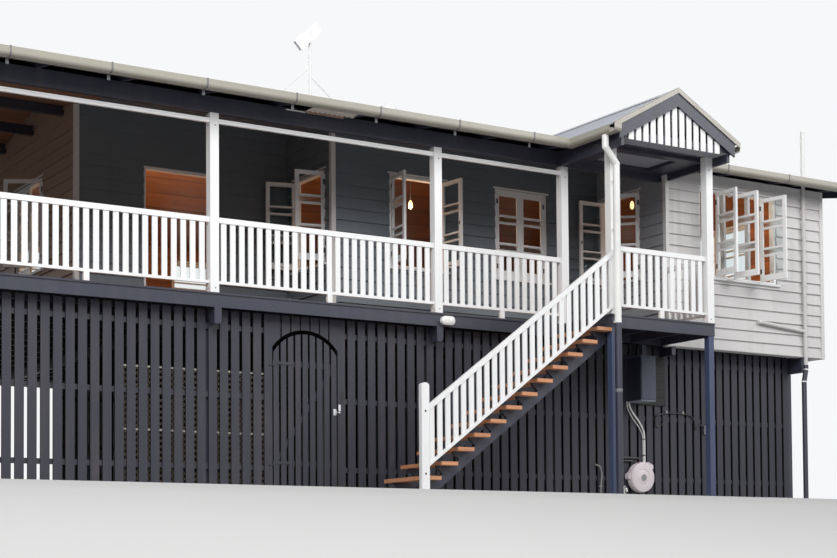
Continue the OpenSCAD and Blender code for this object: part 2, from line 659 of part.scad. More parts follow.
fascia_t = 28;
fascia_h = 88;
end_board_d = 150;
gutter_y = -eave_out + 12;
module fascias() site() color(timber_dark) {
    z = under_sheet(gutter_y) - seat;
    x0 = x_left - verge_out;
    x1 = x_right + verge_out;
    y_far = eave_back - 12;
    block([x0, gutter_y, z - fascia_h], [gable_x - porch_gutter_x - seat, gutter_y + fascia_t, z]);
    block([gable_x + porch_gutter_x + seat, gutter_y, z - fascia_h], [x1, gutter_y + fascia_t, z]);
    block([x0, y_far - fascia_t, z - fascia_h], [x1, y_far, z]);
    for (x = [x0, x1 - fascia_t]) {
        under_roof(x, fascia_t, end_board_d, gutter_y + fascia_t + seat, ridge_y - seat / 2);
        under_roof(x, fascia_t, end_board_d, ridge_y + seat / 2, y_far - fascia_t - seat);
    }
}

// Gutter section: flat back at x = 0, rounded front, open along the top
gutter_shell = 4;
gutter_r = 50;
module gutter_section() {
    s = gutter_shell;
    w = gutter_w;
    polygon(concat([[0, gutter_h - 42], [0, 0]],
        [for (a = [-90 : 15 : 0]) [w - gutter_r + gutter_r * cos(a), gutter_r + gutter_r * sin(a)]],
        [[w, gutter_h], [w - s, gutter_h]],
        [for (a = [0 : -15 : -90]) [w - gutter_r + (gutter_r - s) * cos(a), gutter_r + (gutter_r - s) * sin(a)]],
        [[s, s], [s, gutter_h - 42]]));
}
gutter_z = sheet_top(-eave_out) - gutter_h - 8;
// Straight gutter from x0 to x1; its back is at y and it opens toward +Y or -Y
module gutter_run(x0, x1, y, face) translate([x0, y, gutter_z]) rotate([90, 0, 90]) linear_extrude(x1 - x0)
    mirror([face < 0 ? 1 : 0, 0]) gutter_section();
// Gutter along a side of the porch, from y0 back to y1
module gutter_side(x, y0, y1, face) translate([x, y1, gutter_z]) rotate([90, 0, 0]) linear_extrude(y1 - y0)
    mirror([face < 0 ? 1 : 0, 0]) gutter_section();
porch_gutter_x = gable_half + gable_side_out - 84;
gutter_front = gable_front - 48;
// The left gutter turns the corner and stops at the foot of the barge board
return_l = 130;
module gutters() site() color(gutter_cream) {
    xl = gable_x - porch_gutter_x;
    xr = gable_x + porch_gutter_x;
    gutter_run(x_left - verge_out, xl - gutter_w - seat, gutter_y, -1);
    gutter_run(xr + gutter_w + seat, x_right + verge_out, gutter_y, -1);
    gutter_run(x_left - verge_out, x_right + verge_out, eave_back - 12, 1);
    gutter_side(xl, gutter_front + gutter_w - gutter_shell, -eave_out - seat, -1);
    gutter_run(xl - gutter_w, xl - gutter_w + return_l, gutter_front + gutter_w, -1);
    gutter_side(xr, gable_front + 30 + seat, -eave_out - seat, 1);
}

// Round pipe d thick through a list of points, with a socket at each bend
module pipe(points, d, socket = 4) {
    for (k = [0 : len(points) - 2]) {
        v = points[k + 1] - points[k];
        l = norm(v);
        translate(points[k]) rotate([0, acos(v[2] / l), atan2(v[1], v[0])]) cylinder(d = d, h = l, $fn = 24);
        if (k > 0) translate(points[k]) sphere(d = d + socket, $fn = 24);
    }
}
// From the side gutter, across in front of the post and down to the ground
downpipe_d = 100;
downpipe_x = x_p3 + 30;
downpipe_y = y_porch - rail_t - 8 - downpipe_d / 2;
module downpipe() site() color(trim_white) {
    top = [gable_x - porch_gutter_x - gutter_w / 2, y_porch - 130, gutter_z - seat];
    pipe([top, top - [0, 0, 165], [downpipe_x, downpipe_y, floor_z + 2140], [downpipe_x, downpipe_y, 0]], downpipe_d);
    for (z = [edge_z + 60, floor_z + 1200, floor_z + 1900])
        block([downpipe_x, downpipe_y, z], [downpipe_x + 40, y_porch - seat, z + 30]);
}

// Screens below the floor: upright battens on two rails, cut round the bearers
screen_low = 30;
rail_w = 70;
screen_rails = [300, bearer_z - 1012, bearer_z - 112];
module screen(l, top = edge_z - seat, spacing = batten_gap) {
    n = floor((l + spacing) / (batten_w + spacing));
    gap = n > 1 ? (l - n * batten_w) / (n - 1) : 0;
    for (k = [0 : n - 1]) block([k * (batten_w + gap), 0, screen_low], [k * (batten_w + gap) + batten_w, batten_t + eps, top]);
    for (z = screen_rails) block([0, batten_t, z], [l, batten_t + screen_rail_t, z + rail_w]);
}
module bearer_notches() for (i = [0 : 5])
    block([bearer_xs[i] - bearer_t / 2 - 2, 0, bearer_low(i) - seat], [bearer_xs[i] + bearer_t / 2 + 2, y_back + 200, 5000]);
x_screen0 = x_left + post_w;
gate_x = 1022;
arch_l = gate_x - 20;
arch_r = gate_x + gate_w + 20;
x_screen1 = bearer_xs[5] - stump_w / 2;
y_screen_back = y_back - wall_t + batten_t + screen_rail_t;
// The back is boarded close to the right of the side deck, and open below the deck; the right side is boarded close
back_screen_x = 1450;
close_gap = 6;
module front_screens() site() color(timber_dark) {
    difference() {
        union() {
            translate([x_screen0, screen_y, 0]) screen(arch_l - x_screen0);
            translate([arch_r, screen_y, 0]) screen(x_screen1 - arch_r);
        }
        bearer_notches();
    }
    translate([gate_x, screen_y, gate_low]) for (z = gate_rails) hinge_pin(z + rail_w / 2 - knuckle_h / 2);
}
module side_and_back_screens() site() color(timber_dark) {
    l = y_screen_back - screen_y - 120;
    translate([x_screen0, screen_y + 60 + l, 0]) rotate(-90) screen(l);
    translate([x_screen1, screen_y + 60, 0]) rotate(90) screen(l, edge_z - seat, close_gap);
    translate([x_screen1, y_screen_back, 0]) rotate(180) screen(x_screen1 - back_screen_x, wall_z - seat, close_gap);
}

// Gate with a segmental arched head; its leaf is outlined by gate_outline
gate_low = 40;
gate_side_h = edge_z - gate_low - gate_rise - gate_head_gap;
gate_rails = [330, gate_side_h - 180];
brace_low = 400;
// Strap hinges turn on pins that stand in front of the left jamb
pin_x = -11;
pin_y = -8;
pin_r = 4;
knuckle_r = 8;
knuckle_h = 50;
module hinge_pin(z) {
    block([-70, -12, z - 12], [pin_x + 6, eps, z - seat]);
    translate([pin_x, pin_y, z - 6]) cylinder(r = pin_r, h = knuckle_h + 10, $fn = 24);
}
module hinge_strap(z) difference() {
    union() {
        block([pin_x, -5, z + 8], [280, eps, z + knuckle_h - 8]);
        translate([pin_x, pin_y, z]) cylinder(r = knuckle_r, h = knuckle_h, $fn = 24);
    }
    translate([pin_x, pin_y, z - eps]) cylinder(r = pin_r + seat, h = knuckle_h + 2 * eps, $fn = 24);
}
arch_r0 = (gate_w * gate_w / 4 + gate_rise * gate_rise) / (2 * gate_rise);
module gate_outline(grow) translate([gate_w / 2, 0]) union() {
    translate([-gate_w / 2 - grow, 0]) square([gate_w + 2 * grow, gate_side_h]);
    intersection() {
        translate([0, gate_side_h + gate_rise - arch_r0]) circle(r = arch_r0 + grow, $fn = 240);
        translate([-gate_w / 2 - grow, gate_side_h - 40]) square([gate_w + 2 * grow, gate_rise + 80]);
    }
}
module screen_over_gate() site() color(timber_dark) translate([gate_x, screen_y, 0]) {
    rotate([90, 0, 0]) translate([0, 0, -batten_t]) linear_extrude(batten_t) difference() {
        n = 7;
        w = (arch_r - arch_l - (n - 1) * 22) / n;
        for (k = [0 : n - 1]) translate([arch_l - gate_x + k * (w + 22), gate_side_h - 150]) square([w, edge_z - seat - gate_side_h + 150]);
        translate([0, gate_low]) gate_outline(20);
        translate([-20, 0]) square([gate_w + 40, gate_low + gate_side_h]);
    }
    block([arch_l - gate_x, batten_t - eps, bearer_z - 30], [arch_r - gate_x, batten_t + screen_rail_t, bearer_z + 40]);
}
module arched_gate() site() color(timber_dark) translate([gate_x, screen_y, gate_low]) {
    gap = (gate_w - slats * slat_w) / (slats - 1);
    rotate([90, 0, 0]) translate([0, 0, -batten_t]) linear_extrude(batten_t) intersection() {
        for (k = [0 : slats - 1]) translate([k * (slat_w + gap), 0]) square([slat_w, gate_side_h + gate_rise + 50]);
        gate_outline(0);
    }
    for (z = gate_rails) {
        block([10, batten_t, z], [gate_w - 10, batten_t + screen_rail_t, z + rail_w]);
        hinge_strap(z + rail_w / 2 - knuckle_h / 2);
    }
    translate([0, batten_t, 0]) rotate([90, 0, 0]) translate([0, 0, -screen_rail_t]) linear_extrude(screen_rail_t)
        polygon([[20, brace_low], [90, brace_low], [gate_w - 20, gate_rails[1]], [gate_w - 90, gate_rails[1]]]);
}

// Meter box on a board on the screen, between the porch legs
meter_at = [x_room - 607, screen_y - 370, 1520];
meter_w = 290;
meter_h = 670;
meter_board = [x_room - 607, x_room + 173];
board_low = 1490;
module meter_box() site() color("#8d9096") {
    block(meter_at, [meter_at[0] + meter_w, screen_y - 20 + eps, meter_at[2] + meter_h]);
    block([meter_board[0], screen_y - 20, board_low], [meter_board[1], screen_y, bearer_z - 12]);
}
// Hose reel: round case with a hub, a handle and a foot
reel = [x_room - 395, screen_y - 15, 355];
reel_d = 460;
reel_t = 130;
module hose_reel() site() color("#d8cfcb") translate(reel) rotate([90, 0, 0]) {
    cylinder(d = reel_d, h = reel_t, $fn = 64);
    translate([0, 0, reel_t - eps]) cylinder(d = 110, h = 22, $fn = 48);
    block([-60, 150, 0], [215, 235, 110]);
    block([-262, -30, 0], [-205, 60, 90]);
    block([-60, -40, -15 + seat], [60, 40, eps]);
}
// Stack from the ground, up the front of the end room and through the eave, with the waste from the wall
waste = [[x_right - 1435, floor_z + 296], [stack[0], floor_z + 208]];
waste_d = 56;
stack_y = stack[1];
// The stack is thinner on the wall than below the floor and through the roof
wall_stack_d = 62;
module vent_stack() site() color(trim_white) {
    foot = [stack[0] - 30, stack_y + 15, 0];
    low = [stack[0], stack_y, floor_z - 410];
    high = [stack[0], stack_y, under_sheet(stack_y) - 60];
    pipe([foot, foot + [0, 0, low[2] - 200], low, low + [0, 0, 70]], stack_d);
    pipe([low, high + [0, 0, 10]], wall_stack_d);
    pipe([high, [stack[0], stack_y, sheet_top(stack_y) + stack_above]], stack_d);
    pipe([[waste[0][0], y_room - seat, waste[0][1]], [waste[0][0], stack_y, waste[0][1]],
        [waste[1][0], stack_y, waste[1][1]]], waste_d);
    for (z = [floor_z + 500, floor_z + 2000]) block([stack[0] - 20, stack_y, z], [stack[0] + 20, y_room - seat, z + 40]);
}
// Round roof vent with a domed cap
vent_at = [3200, 800];
vent_top = sheet_top(vent_at[1]) + 269;
module roof_vent() site() color(trim_white) difference() {
    translate([vent_at[0], vent_at[1], 0]) rotate_extrude($fn = 48)
        polygon(concat([[0, beam_top], [95, beam_top], [95, vent_top - 110], [140, vent_top - 110]],
            [for (a = [0 : 15 : 75]) [140 * cos(a), vent_top - 70 + 70 * sin(a)]], [[0, vent_top]]));
    below_main_roof();
}
// Pole with two struts and a tilted flat panel
mast = [2583, 2000];
mast_h = 1327;
mast_foot = sheet_top(mast[1]) - 113;
mast_top = sheet_top(mast[1]) + mast_h;
panel = [500, 60, 160];
panel_tilt = 43;
module antenna() site() color(trim_white) difference() {
    union() {
        translate([mast[0], mast[1], mast_foot]) cylinder(d = 40, h = mast_top - mast_foot, $fn = 16);
        translate([mast[0] - 48, mast[1] - 40, mast_top - 60]) rotate([0, -panel_tilt, 0])
            translate([-panel[0] / 2, -panel[1] / 2, -panel[2] / 2]) cube(panel);
        pipe([[mast[0], mast[1], mast_top - 500], [mast[0] - 1010, mast[1], mast_foot]], 18);
        pipe([[mast[0], mast[1], mast_top - 635], [mast[0] + 990, mast[1], mast_foot]], 18);
    }
    below_main_roof();
}
// Oval light on the edge beam
module bulkhead_light() site() color(trim_white) translate([x_p2 + 185, 0, floor_z - 110]) rotate([90, 0, 0]) {
    for (x = [-50, 50]) translate([x, 0, 0]) cylinder(d = 120, h = 55, $fn = 32);
    block([-50, -60, 0], [50, 60, 55]);
}

stumps();
bearers();
floor_joists();
edge_beams();
porch_legs();
veranda_deck();
house_floor();
veranda_posts();
porch_posts();
veranda_beams();
screen_track();
porch_beams();
veranda_balustrades();
porch_balustrades();
deck_balustrades();
stair_stringers();
stair_treads();
stair_balustrade();
newel_post();
front_room_wall();
front_room_side_wall();
middle_wall();
middle_side_wall();
inner_wall_left();
inner_wall_right();
inner_wall_head();
deck_wall();
right_wall();
back_wall();
front_room_window();
front_room_side_window();
middle_wall_windows();
middle_side_window();
deck_window();
right_windows();
back_windows();
window_glass();
doorway_frame();
main_roof_front();
main_roof_back();
porch_roof();
rafters();
barge_boards();
gable_battens();
fascias();
gutters();
downpipe();
front_screens();
screen_over_gate();
side_and_back_screens();
arched_gate();
meter_box();
hose_reel();
vent_stack();
roof_vent();
antenna();
bulkhead_light();
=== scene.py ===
"""High-set timber house on stumps: finishes, small pieces, light and camera around the CAD frame."""
from __future__ import annotations

import json
import logging
import math
from dataclasses import dataclass, field, replace
from enum import Enum
from typing import Sequence

import bmesh
import bpy
from mathutils import Matrix, Vector

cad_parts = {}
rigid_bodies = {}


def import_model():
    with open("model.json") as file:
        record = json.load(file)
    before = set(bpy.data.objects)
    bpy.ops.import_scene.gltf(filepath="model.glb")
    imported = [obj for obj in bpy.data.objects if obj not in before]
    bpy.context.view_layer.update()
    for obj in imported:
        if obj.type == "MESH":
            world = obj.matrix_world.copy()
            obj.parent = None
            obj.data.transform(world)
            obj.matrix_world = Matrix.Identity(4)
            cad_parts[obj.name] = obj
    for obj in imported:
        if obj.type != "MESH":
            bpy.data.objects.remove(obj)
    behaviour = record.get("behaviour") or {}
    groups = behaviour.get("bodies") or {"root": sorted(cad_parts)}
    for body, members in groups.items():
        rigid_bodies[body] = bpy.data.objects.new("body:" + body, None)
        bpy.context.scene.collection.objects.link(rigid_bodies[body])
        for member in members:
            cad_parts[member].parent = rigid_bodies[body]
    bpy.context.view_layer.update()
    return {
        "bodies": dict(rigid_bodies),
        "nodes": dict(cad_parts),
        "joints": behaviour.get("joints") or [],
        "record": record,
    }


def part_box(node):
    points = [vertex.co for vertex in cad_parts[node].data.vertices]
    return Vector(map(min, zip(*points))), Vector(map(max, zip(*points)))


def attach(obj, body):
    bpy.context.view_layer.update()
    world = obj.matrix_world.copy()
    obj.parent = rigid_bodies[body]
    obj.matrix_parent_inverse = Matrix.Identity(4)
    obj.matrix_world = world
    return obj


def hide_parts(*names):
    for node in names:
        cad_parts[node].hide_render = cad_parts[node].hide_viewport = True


LOG = logging.getLogger("stilt_house")
Color = tuple[float, float, float]
Point = tuple[float, float, float]
Flat = tuple[float, float]
Span = tuple[float, float, float, float]
HOUSE = "house"
GATE = "gate"
UP = (0.0, 0.0, 1.0)
FRONT = (0.0, -1.0, 0.0)
LEFT = (-1.0, 0.0, 0.0)


class Wear(Enum):
    """How much dirt a surface carries."""

    CLEAN = 0.25
    AGED = 0.55
    DIRTY = 0.9


class Wiring:
    """Short calls for placing and joining nodes in one tree."""

    def __init__(self, tree: bpy.types.NodeTree) -> None:
        """Keep the tree that the nodes go into."""
        self.tree = tree

    def node(self, kind: str, inputs: dict | None = None, **values: object) -> bpy.types.Node:
        """Add a node, set its properties and feed its inputs.

        Args:
            kind: Name of the node type.
            inputs: Input name or number to a value or a source socket.
            values: Properties of the node, by name.

        Returns:
            The new node.
        """
        made = self.tree.nodes.new(kind)
        for key, value in values.items():
            setattr(made, key, value)
        self.feed(made.inputs, inputs or {})
        return made

    def feed(self, sockets: bpy.types.NodeInputs, values: dict[object, object]) -> None:
        """Set or link inputs.

        Args:
            sockets: The inputs of a node.
            values: Input name or number to a value or a source socket.
        """
        for key, value in values.items():
            if isinstance(value, bpy.types.NodeSocket):
                self.tree.links.new(value, sockets[key])
            else:
                sockets[key].default_value = value

    def math(self, operation: str, a: object, b: object = 0.0, clamp: bool = False) -> bpy.types.NodeSocket:
        """Add a Math node and return its result."""
        return self.node("ShaderNodeMath", {0: a, 1: b}, operation=operation, use_clamp=clamp).outputs[0]

    def mix(self, factor: object, a: object, b: object, blend: str = "MIX") -> bpy.types.NodeSocket:
        """Add a colour Mix node and return its result."""
        inputs = {0: factor, 6: a, 7: b}
        return self.node("ShaderNodeMix", inputs, data_type="RGBA", blend_type=blend).outputs[2]

    def noise(self, vector: object, scale: object, detail: float = 3.0,
              rough: float = 0.55) -> bpy.types.NodeSocket:
        """Add a Noise node and return its value."""
        inputs = {"Vector": vector, "Scale": scale, "Detail": detail, "Roughness": rough}
        return self.node("ShaderNodeTexNoise", inputs).outputs[0]

    def stretch(self, vector: object, scale: Point) -> bpy.types.NodeSocket:
        """Scale a vector and return it."""
        return self.node("ShaderNodeMapping", {"Vector": vector, "Scale": scale}).outputs[0]

    def ramp(self, value: object, low: float, high: float) -> bpy.types.NodeSocket:
        """Map a range of a value to zero to one."""
        return self.node("ShaderNodeMapRange", {0: value, 1: low, 2: high}).outputs[0]


def open_group(name: str, inputs: dict[str, object],
               outputs: Sequence[str]) -> tuple[Wiring, bpy.types.NodeOutputs, bpy.types.NodeInputs]:
    """Start a shader node group with named sockets.

    Args:
        name: Name of the group.
        inputs: Default of each input. A tuple makes a vector socket, a number a plain one.
        outputs: Names of the outputs, which are numbers.

    Returns:
        The group's wiring, what it is given and what it puts out.
    """
    tree = bpy.data.node_groups.new(name, "ShaderNodeTree")
    for label, value in inputs.items():
        kind = "NodeSocketVector" if isinstance(value, tuple) else "NodeSocketFloat"
        tree.interface.new_socket(name=label, in_out="INPUT", socket_type=kind).default_value = value
    for label in outputs:
        tree.interface.new_socket(name=label, in_out="OUTPUT", socket_type="NodeSocketFloat")
    w = Wiring(tree)
    return w, w.node("NodeGroupInput").outputs, w.node("NodeGroupOutput").inputs


def build_weather_group() -> bpy.types.ShaderNodeTree:
    """Make the group for rain streaks, blotches and fine dust.

    Returns:
        A group that puts out a dirt mask, a tone near one and a fine height.
    """
    inputs = {"Vector": (0.0, 0.0, 0.0), "Streak size": 6.0, "Blotch size": 1.5, "Amount": 0.5}
    w, given, out = open_group("weathering", inputs, ("Dirt", "Tone", "Height"))
    streaks = w.noise(w.stretch(given["Vector"], (1.0, 1.0, 0.06)), given["Streak size"], 4.0)
    blotch = w.noise(given["Vector"], given["Blotch size"], 5.0, 0.62)
    mask = w.math("MULTIPLY", w.ramp(streaks, 0.48, 0.74), w.ramp(blotch, 0.40, 0.68))
    w.feed(out, {"Dirt": w.math("MULTIPLY", mask, given["Amount"], True),
                 "Tone": w.math("ADD", 0.96, w.math("MULTIPLY", blotch, 0.08)),
                 "Height": w.noise(given["Vector"], 90.0, 2.0)})
    return w.tree


def build_grain_group() -> bpy.types.ShaderNodeTree:
    """Make the group for timber grain that runs along one axis.

    Returns:
        A group that puts out a figure mask and a height.
    """
    inputs = {"Vector": (0.0, 0.0, 0.0), "Across": 40.0, "Along": (1.0, 0.05, 1.0)}
    w, given, out = open_group("timber_grain", inputs, ("Figure", "Height"))
    scaled = w.node("ShaderNodeVectorMath", {0: given["Vector"], 1: given["Along"]}, operation="MULTIPLY")
    coarse = w.noise(scaled.outputs[0], given["Across"], 6.0, 0.65)
    w.feed(out, {"Figure": w.ramp(coarse, 0.30, 0.72), "Height": coarse})
    return w.tree


def build_boards_group() -> bpy.types.ShaderNodeTree:
    """Make the group that splits a coordinate into boards.

    Returns:
        A group that puts out a number per board, a joint mask and a height.
    """
    inputs = {"Coordinate": 0.0, "Pitch": 0.1, "Joint": 0.06}
    w, given, out = open_group("board_joints", inputs, ("Board tone", "Joint", "Height"))
    run = w.math("DIVIDE", given["Coordinate"], given["Pitch"])
    index = w.math("FLOOR", run)
    part = w.math("SUBTRACT", run, index)
    tone = w.node("ShaderNodeTexWhiteNoise", {"W": index}, noise_dimensions="1D").outputs["Value"]
    edge = w.math("MINIMUM", part, w.math("SUBTRACT", 1.0, part))
    joint = w.math("SUBTRACT", 1.0, w.math("DIVIDE", edge, given["Joint"], True), True)
    w.feed(out, {"Board tone": tone, "Joint": joint, "Height": w.math("SUBTRACT", 1.0, joint)})
    return w.tree


class Groups:
    """The node groups that more than one material uses."""

    def __init__(self) -> None:
        """Build each group once."""
        self.weather = build_weather_group()
        self.grain = build_grain_group()
        self.boards = build_boards_group()


@dataclass
class Surface:
    """The shader of one material while a finish is wired into it."""

    w: Wiring
    sockets: bpy.types.NodeInputs
    where: bpy.types.NodeSocket
    groups: Groups

    def place(self, group: bpy.types.ShaderNodeTree, values: dict[object, object]) -> bpy.types.NodeOutputs:
        """Place a node group, feed it and return its outputs."""
        return self.w.node("ShaderNodeGroup", values, node_tree=group).outputs

    def weather(self, wear: Wear, sizes: dict[str, float] | None = None) -> bpy.types.NodeOutputs:
        """Place the weathering group and return its outputs."""
        return self.place(self.groups.weather, {"Vector": self.where, "Amount": wear.value, **(sizes or {})})

    def tint(self, color: object, tone: bpy.types.NodeSocket) -> bpy.types.NodeSocket:
        """Multiply a colour by a tone of grey."""
        grey = self.w.node("ShaderNodeCombineColor", {0: tone, 1: tone, 2: tone})
        return self.w.mix(1.0, color, grey.outputs[0], "MULTIPLY")

    def roughen(self, roughness: float, dirt: bpy.types.NodeSocket, amount: float) -> None:
        """Make the surface duller where it is dirty."""
        rough = self.w.math("ADD", roughness, self.w.math("MULTIPLY", dirt, amount), True)
        self.w.feed(self.sockets, {"Roughness": rough})

    def close(self, color: object, height: object, depth: float, strength: float) -> None:
        """Link the colour and the bump."""
        bump = self.w.node("ShaderNodeBump", {"Height": height, "Distance": depth, "Strength": strength})
        self.w.feed(self.sockets, {"Base Color": color, "Normal": bump.outputs[0]})


def opaque(color: Color) -> tuple[float, float, float, float]:
    """Add full cover to a colour."""
    return (*color, 1.0)


@dataclass(frozen=True)
class Finish:
    """A surface finish: a name, the record's slot and what the shader needs."""

    name: str
    slot: str
    color: Color
    roughness: float = 0.45
    wear: Wear = Wear.AGED

    def make(self, groups: Groups) -> bpy.types.Material:
        """Build the material.

        Args:
            groups: The shared node groups.

        Returns:
            The material.
        """
        material = bpy.data.materials.new(self.name)
        material.use_nodes = True
        w = Wiring(material.node_tree)
        sockets = material.node_tree.nodes["Principled BSDF"].inputs
        w.feed(sockets, {"Roughness": self.roughness})
        self.dress(Surface(w, sockets, w.node("ShaderNodeTexCoord").outputs["Object"], groups))
        return material

    def dress(self, on: Surface) -> None:
        """Wire the finish into the shader."""
        raise NotImplementedError


@dataclass(frozen=True)
class Paint(Finish):
    """Brushed paint on timber, with rain streaks and brush marks."""

    dirt: Color = (0.16, 0.13, 0.10)
    brush: float = 0.0006
    # edge: colour of painted shade laid on faces that face along x, for the shade between battens; None for
    # none.
    edge: Color | None = None

    def dress(self, on: Surface) -> None:
        """Wire streaks, brush marks and, where the finish has them, painted shade on the side faces.

        Args:
            on: The shader.
        """
        w, weather = on.w, on.weather(self.wear)
        color = w.mix(weather["Dirt"], on.tint(opaque(self.color), weather["Tone"]), opaque(self.dirt))
        # Painted shade: faces that face along x, the battens' sides, take the darker edge colour.
        if self.edge:
            split = w.node("ShaderNodeSeparateXYZ", {0: on.where.node.outputs["Normal"]})
            side = w.ramp(w.math("ABSOLUTE", split.outputs["X"]), 0.5, 0.9)
            color = w.mix(side, color, opaque(self.edge))
        on.roughen(self.roughness, weather["Dirt"], 0.3)
        brushed = w.noise(w.stretch(on.where, (1.0, 1.0, 0.35)), 160.0, 2.0)
        on.close(color, w.math("ADD", brushed, weather["Height"]), self.brush, 0.5)


@dataclass(frozen=True)
class Timber(Finish):
    """Bare or oiled boards: grain along one axis and joints across another."""

    dark: Color = (0.10, 0.05, 0.03)
    along: Point = (1.0, 0.05, 1.0)
    joints: int = -1
    pitch: float = 0.09
    joint_width: float = 0.03

    def dress(self, on: Surface) -> None:
        """Wire the grain, the joints if it has them and the dirt.

        Args:
            on: The shader.
        """
        w = on.w
        grain = on.place(on.groups.grain, {"Vector": on.where, "Along": self.along})
        between = tuple(0.5 * (a + b) for a, b in zip(self.color, self.dark))
        color = w.mix(grain["Figure"], opaque(self.color), opaque(between))
        height = w.math("MULTIPLY", grain["Height"], 0.25)
        if self.joints >= 0:
            split = w.node("ShaderNodeSeparateXYZ", {0: on.where})
            sizes = {"Pitch": self.pitch, "Joint": self.joint_width}
            boards = on.place(on.groups.boards, {"Coordinate": split.outputs[self.joints], **sizes})
            color = on.tint(color, w.math("ADD", 0.72, w.math("MULTIPLY", boards["Board tone"], 0.5)))
            color = w.mix(boards["Joint"], color, opaque(self.dark))
            height = w.math("ADD", height, boards["Height"])
        color = w.mix(on.weather(self.wear)["Dirt"], color, (0.22, 0.18, 0.15, 1.0))
        on.close(color, height, 0.004, 0.6)


@dataclass(frozen=True)
class Metal(Finish):
    """Painted or coated sheet metal with dull patches and rain marks."""

    dirt: Color = (0.20, 0.17, 0.14)

    def dress(self, on: Surface) -> None:
        """Wire wide streaks and dull patches.

        Args:
            on: The shader.
        """
        weather = on.weather(self.wear, {"Streak size": 3.0, "Blotch size": 0.9})
        color = on.w.mix(weather["Dirt"], on.tint(opaque(self.color), weather["Tone"]), opaque(self.dirt))
        on.roughen(self.roughness, weather["Dirt"], 0.35)
        on.close(color, weather["Height"], 0.0004, 0.4)


@dataclass(frozen=True)
class Pane(Finish):
    """Window glass, clear or obscure, with a little dust and a wavy face."""

    bend: float = 1.08
    ripple: float = 3.0
    relief: float = 0.0008

    def dress(self, on: Surface) -> None:
        """Wire the dust and the ripples.

        Args:
            on: The shader.
        """
        weather = on.weather(self.wear)
        on.w.feed(on.sockets, {"Transmission Weight": 1.0, "IOR": self.bend})
        on.roughen(self.roughness, weather["Dirt"], 0.2)
        color = on.w.mix(weather["Dirt"], opaque(self.color), (0.7, 0.68, 0.62, 1.0))
        on.close(color, on.w.noise(on.where, self.ripple, 2.0), self.relief, 0.6)


@dataclass(frozen=True)
class Glow(Finish):
    """Frosted lamp glass that is lit from inside."""

    strength: float = 6.0

    def dress(self, on: Surface) -> None:
        """Wire the cloudy light.

        Args:
            on: The shader.
        """
        cloud = on.w.mix(on.w.noise(on.where, 12.0, 2.0), opaque(self.color), (1.0, 0.80, 0.50, 1.0))
        on.w.feed(on.sockets, {"Base Color": cloud, "Emission Color": cloud,
                               "Emission Strength": self.strength})


NAVY = Paint("navy_trim", "dark_timber", (0.030, 0.032, 0.050), 0.42, dirt=(0.09, 0.08, 0.08))
LEG = Paint("porch_leg_paint", "dark_timber", (0.045, 0.060, 0.120), 0.45, dirt=(0.10, 0.10, 0.12))
BATTEN = Paint("batten_paint", "dark_timber", (0.022, 0.0222, 0.034), 0.55, wear=Wear.DIRTY,
               dirt=(0.070, 0.060, 0.060))
# Front battens whose sides facing along x are darkened: painted shade between the battens.
FRONT_BATTEN_SIDE_SHADE = replace(BATTEN, name="front_batten_side_shade_paint", edge=(0.006, 0.006, 0.008))
# Whiter than the other white trim: painted light, for light that falls on the track under the eave.
TRACK_PAINTED_LIGHT = Paint("track_white_painted_light", "white_paint", (0.95, 0.95, 0.95), 0.38, wear=Wear.CLEAN,
              dirt=(0.50, 0.47, 0.43))
WHITE = Paint("white_trim", "white_paint", (0.80, 0.80, 0.80), 0.38, wear=Wear.CLEAN,
              dirt=(0.42, 0.39, 0.35))
PALE_RAIL = Paint("pale_rail", "white_paint", (0.50, 0.48, 0.42), 0.5, wear=Wear.DIRTY)
GREY = Paint("weatherboard_paint", "weatherboard", (0.56, 0.545, 0.54), 0.5, dirt=(0.34, 0.31, 0.28))
WHITE_GREY = Paint("corner_board_paint", "weatherboard", (0.60, 0.59, 0.58), 0.45, wear=Wear.CLEAN,
                   dirt=(0.36, 0.34, 0.31))
# Brown that stands for warm room light on the side deck's grey boards: painted light. The eave batten takes
# the same brown.
GREY_WARM = Paint("side_deck_boards", "weatherboard", (0.30, 0.20, 0.15), 0.5, wear=Wear.CLEAN,
                  dirt=(0.20, 0.15, 0.12))
# Dark grey of painted shade: the walls and ceiling under the veranda take it in place of the weatherboard
# grey, for the shade under the roof.
SHADE = Paint("veranda_painted_shade", "weatherboard", (0.145, 0.165, 0.187), 0.5, wear=Wear.CLEAN,
              dirt=(0.09, 0.085, 0.08))
# A darker copy of the weatherboard grey: painted shade for the front room's side wall under the porch.
SIDE = Paint("porch_side_painted_shade", "weatherboard", (0.30, 0.31, 0.335), 0.5, wear=Wear.CLEAN,
             dirt=(0.22, 0.21, 0.20))
SOFFIT = Metal("soffit_sheet", "weatherboard", (0.26, 0.27, 0.31), 0.5)
CREAM = Metal("gutter_cream", "gutter", (0.34, 0.325, 0.275), 0.30)
ROOF = Metal("roof_sheet", "roof_sheet", (0.36, 0.37, 0.42), 0.40, dirt=(0.24, 0.23, 0.24))
SOFFIT_PALE = Metal("eave_sheet", "roof_sheet", (0.62, 0.58, 0.54), 0.5)
TREAD = Timber("tread_timber", "floor_timber", (0.66, 0.30, 0.15), 0.5, along=(0.05, 1.0, 1.0))
DECK = Timber("deck_boards", "floor_timber", (0.36, 0.19, 0.10), 0.5, along=(1.0, 0.05, 1.0), joints=0)
LINING = Timber("room_lining", "floor_timber", (0.42, 0.17, 0.07), 0.42, along=(0.05, 0.05, 1.0), joints=2,
                pitch=0.11, joint_width=0.05)
CEILING = Timber("ceiling_boards", "floor_timber", (0.30, 0.14, 0.07), 0.5, along=(0.05, 1.0, 1.0), joints=1,
                 joint_width=0.06)
GLASS = Pane("window_pane", "glass", (0.86, 0.90, 0.90), 0.03, wear=Wear.CLEAN)
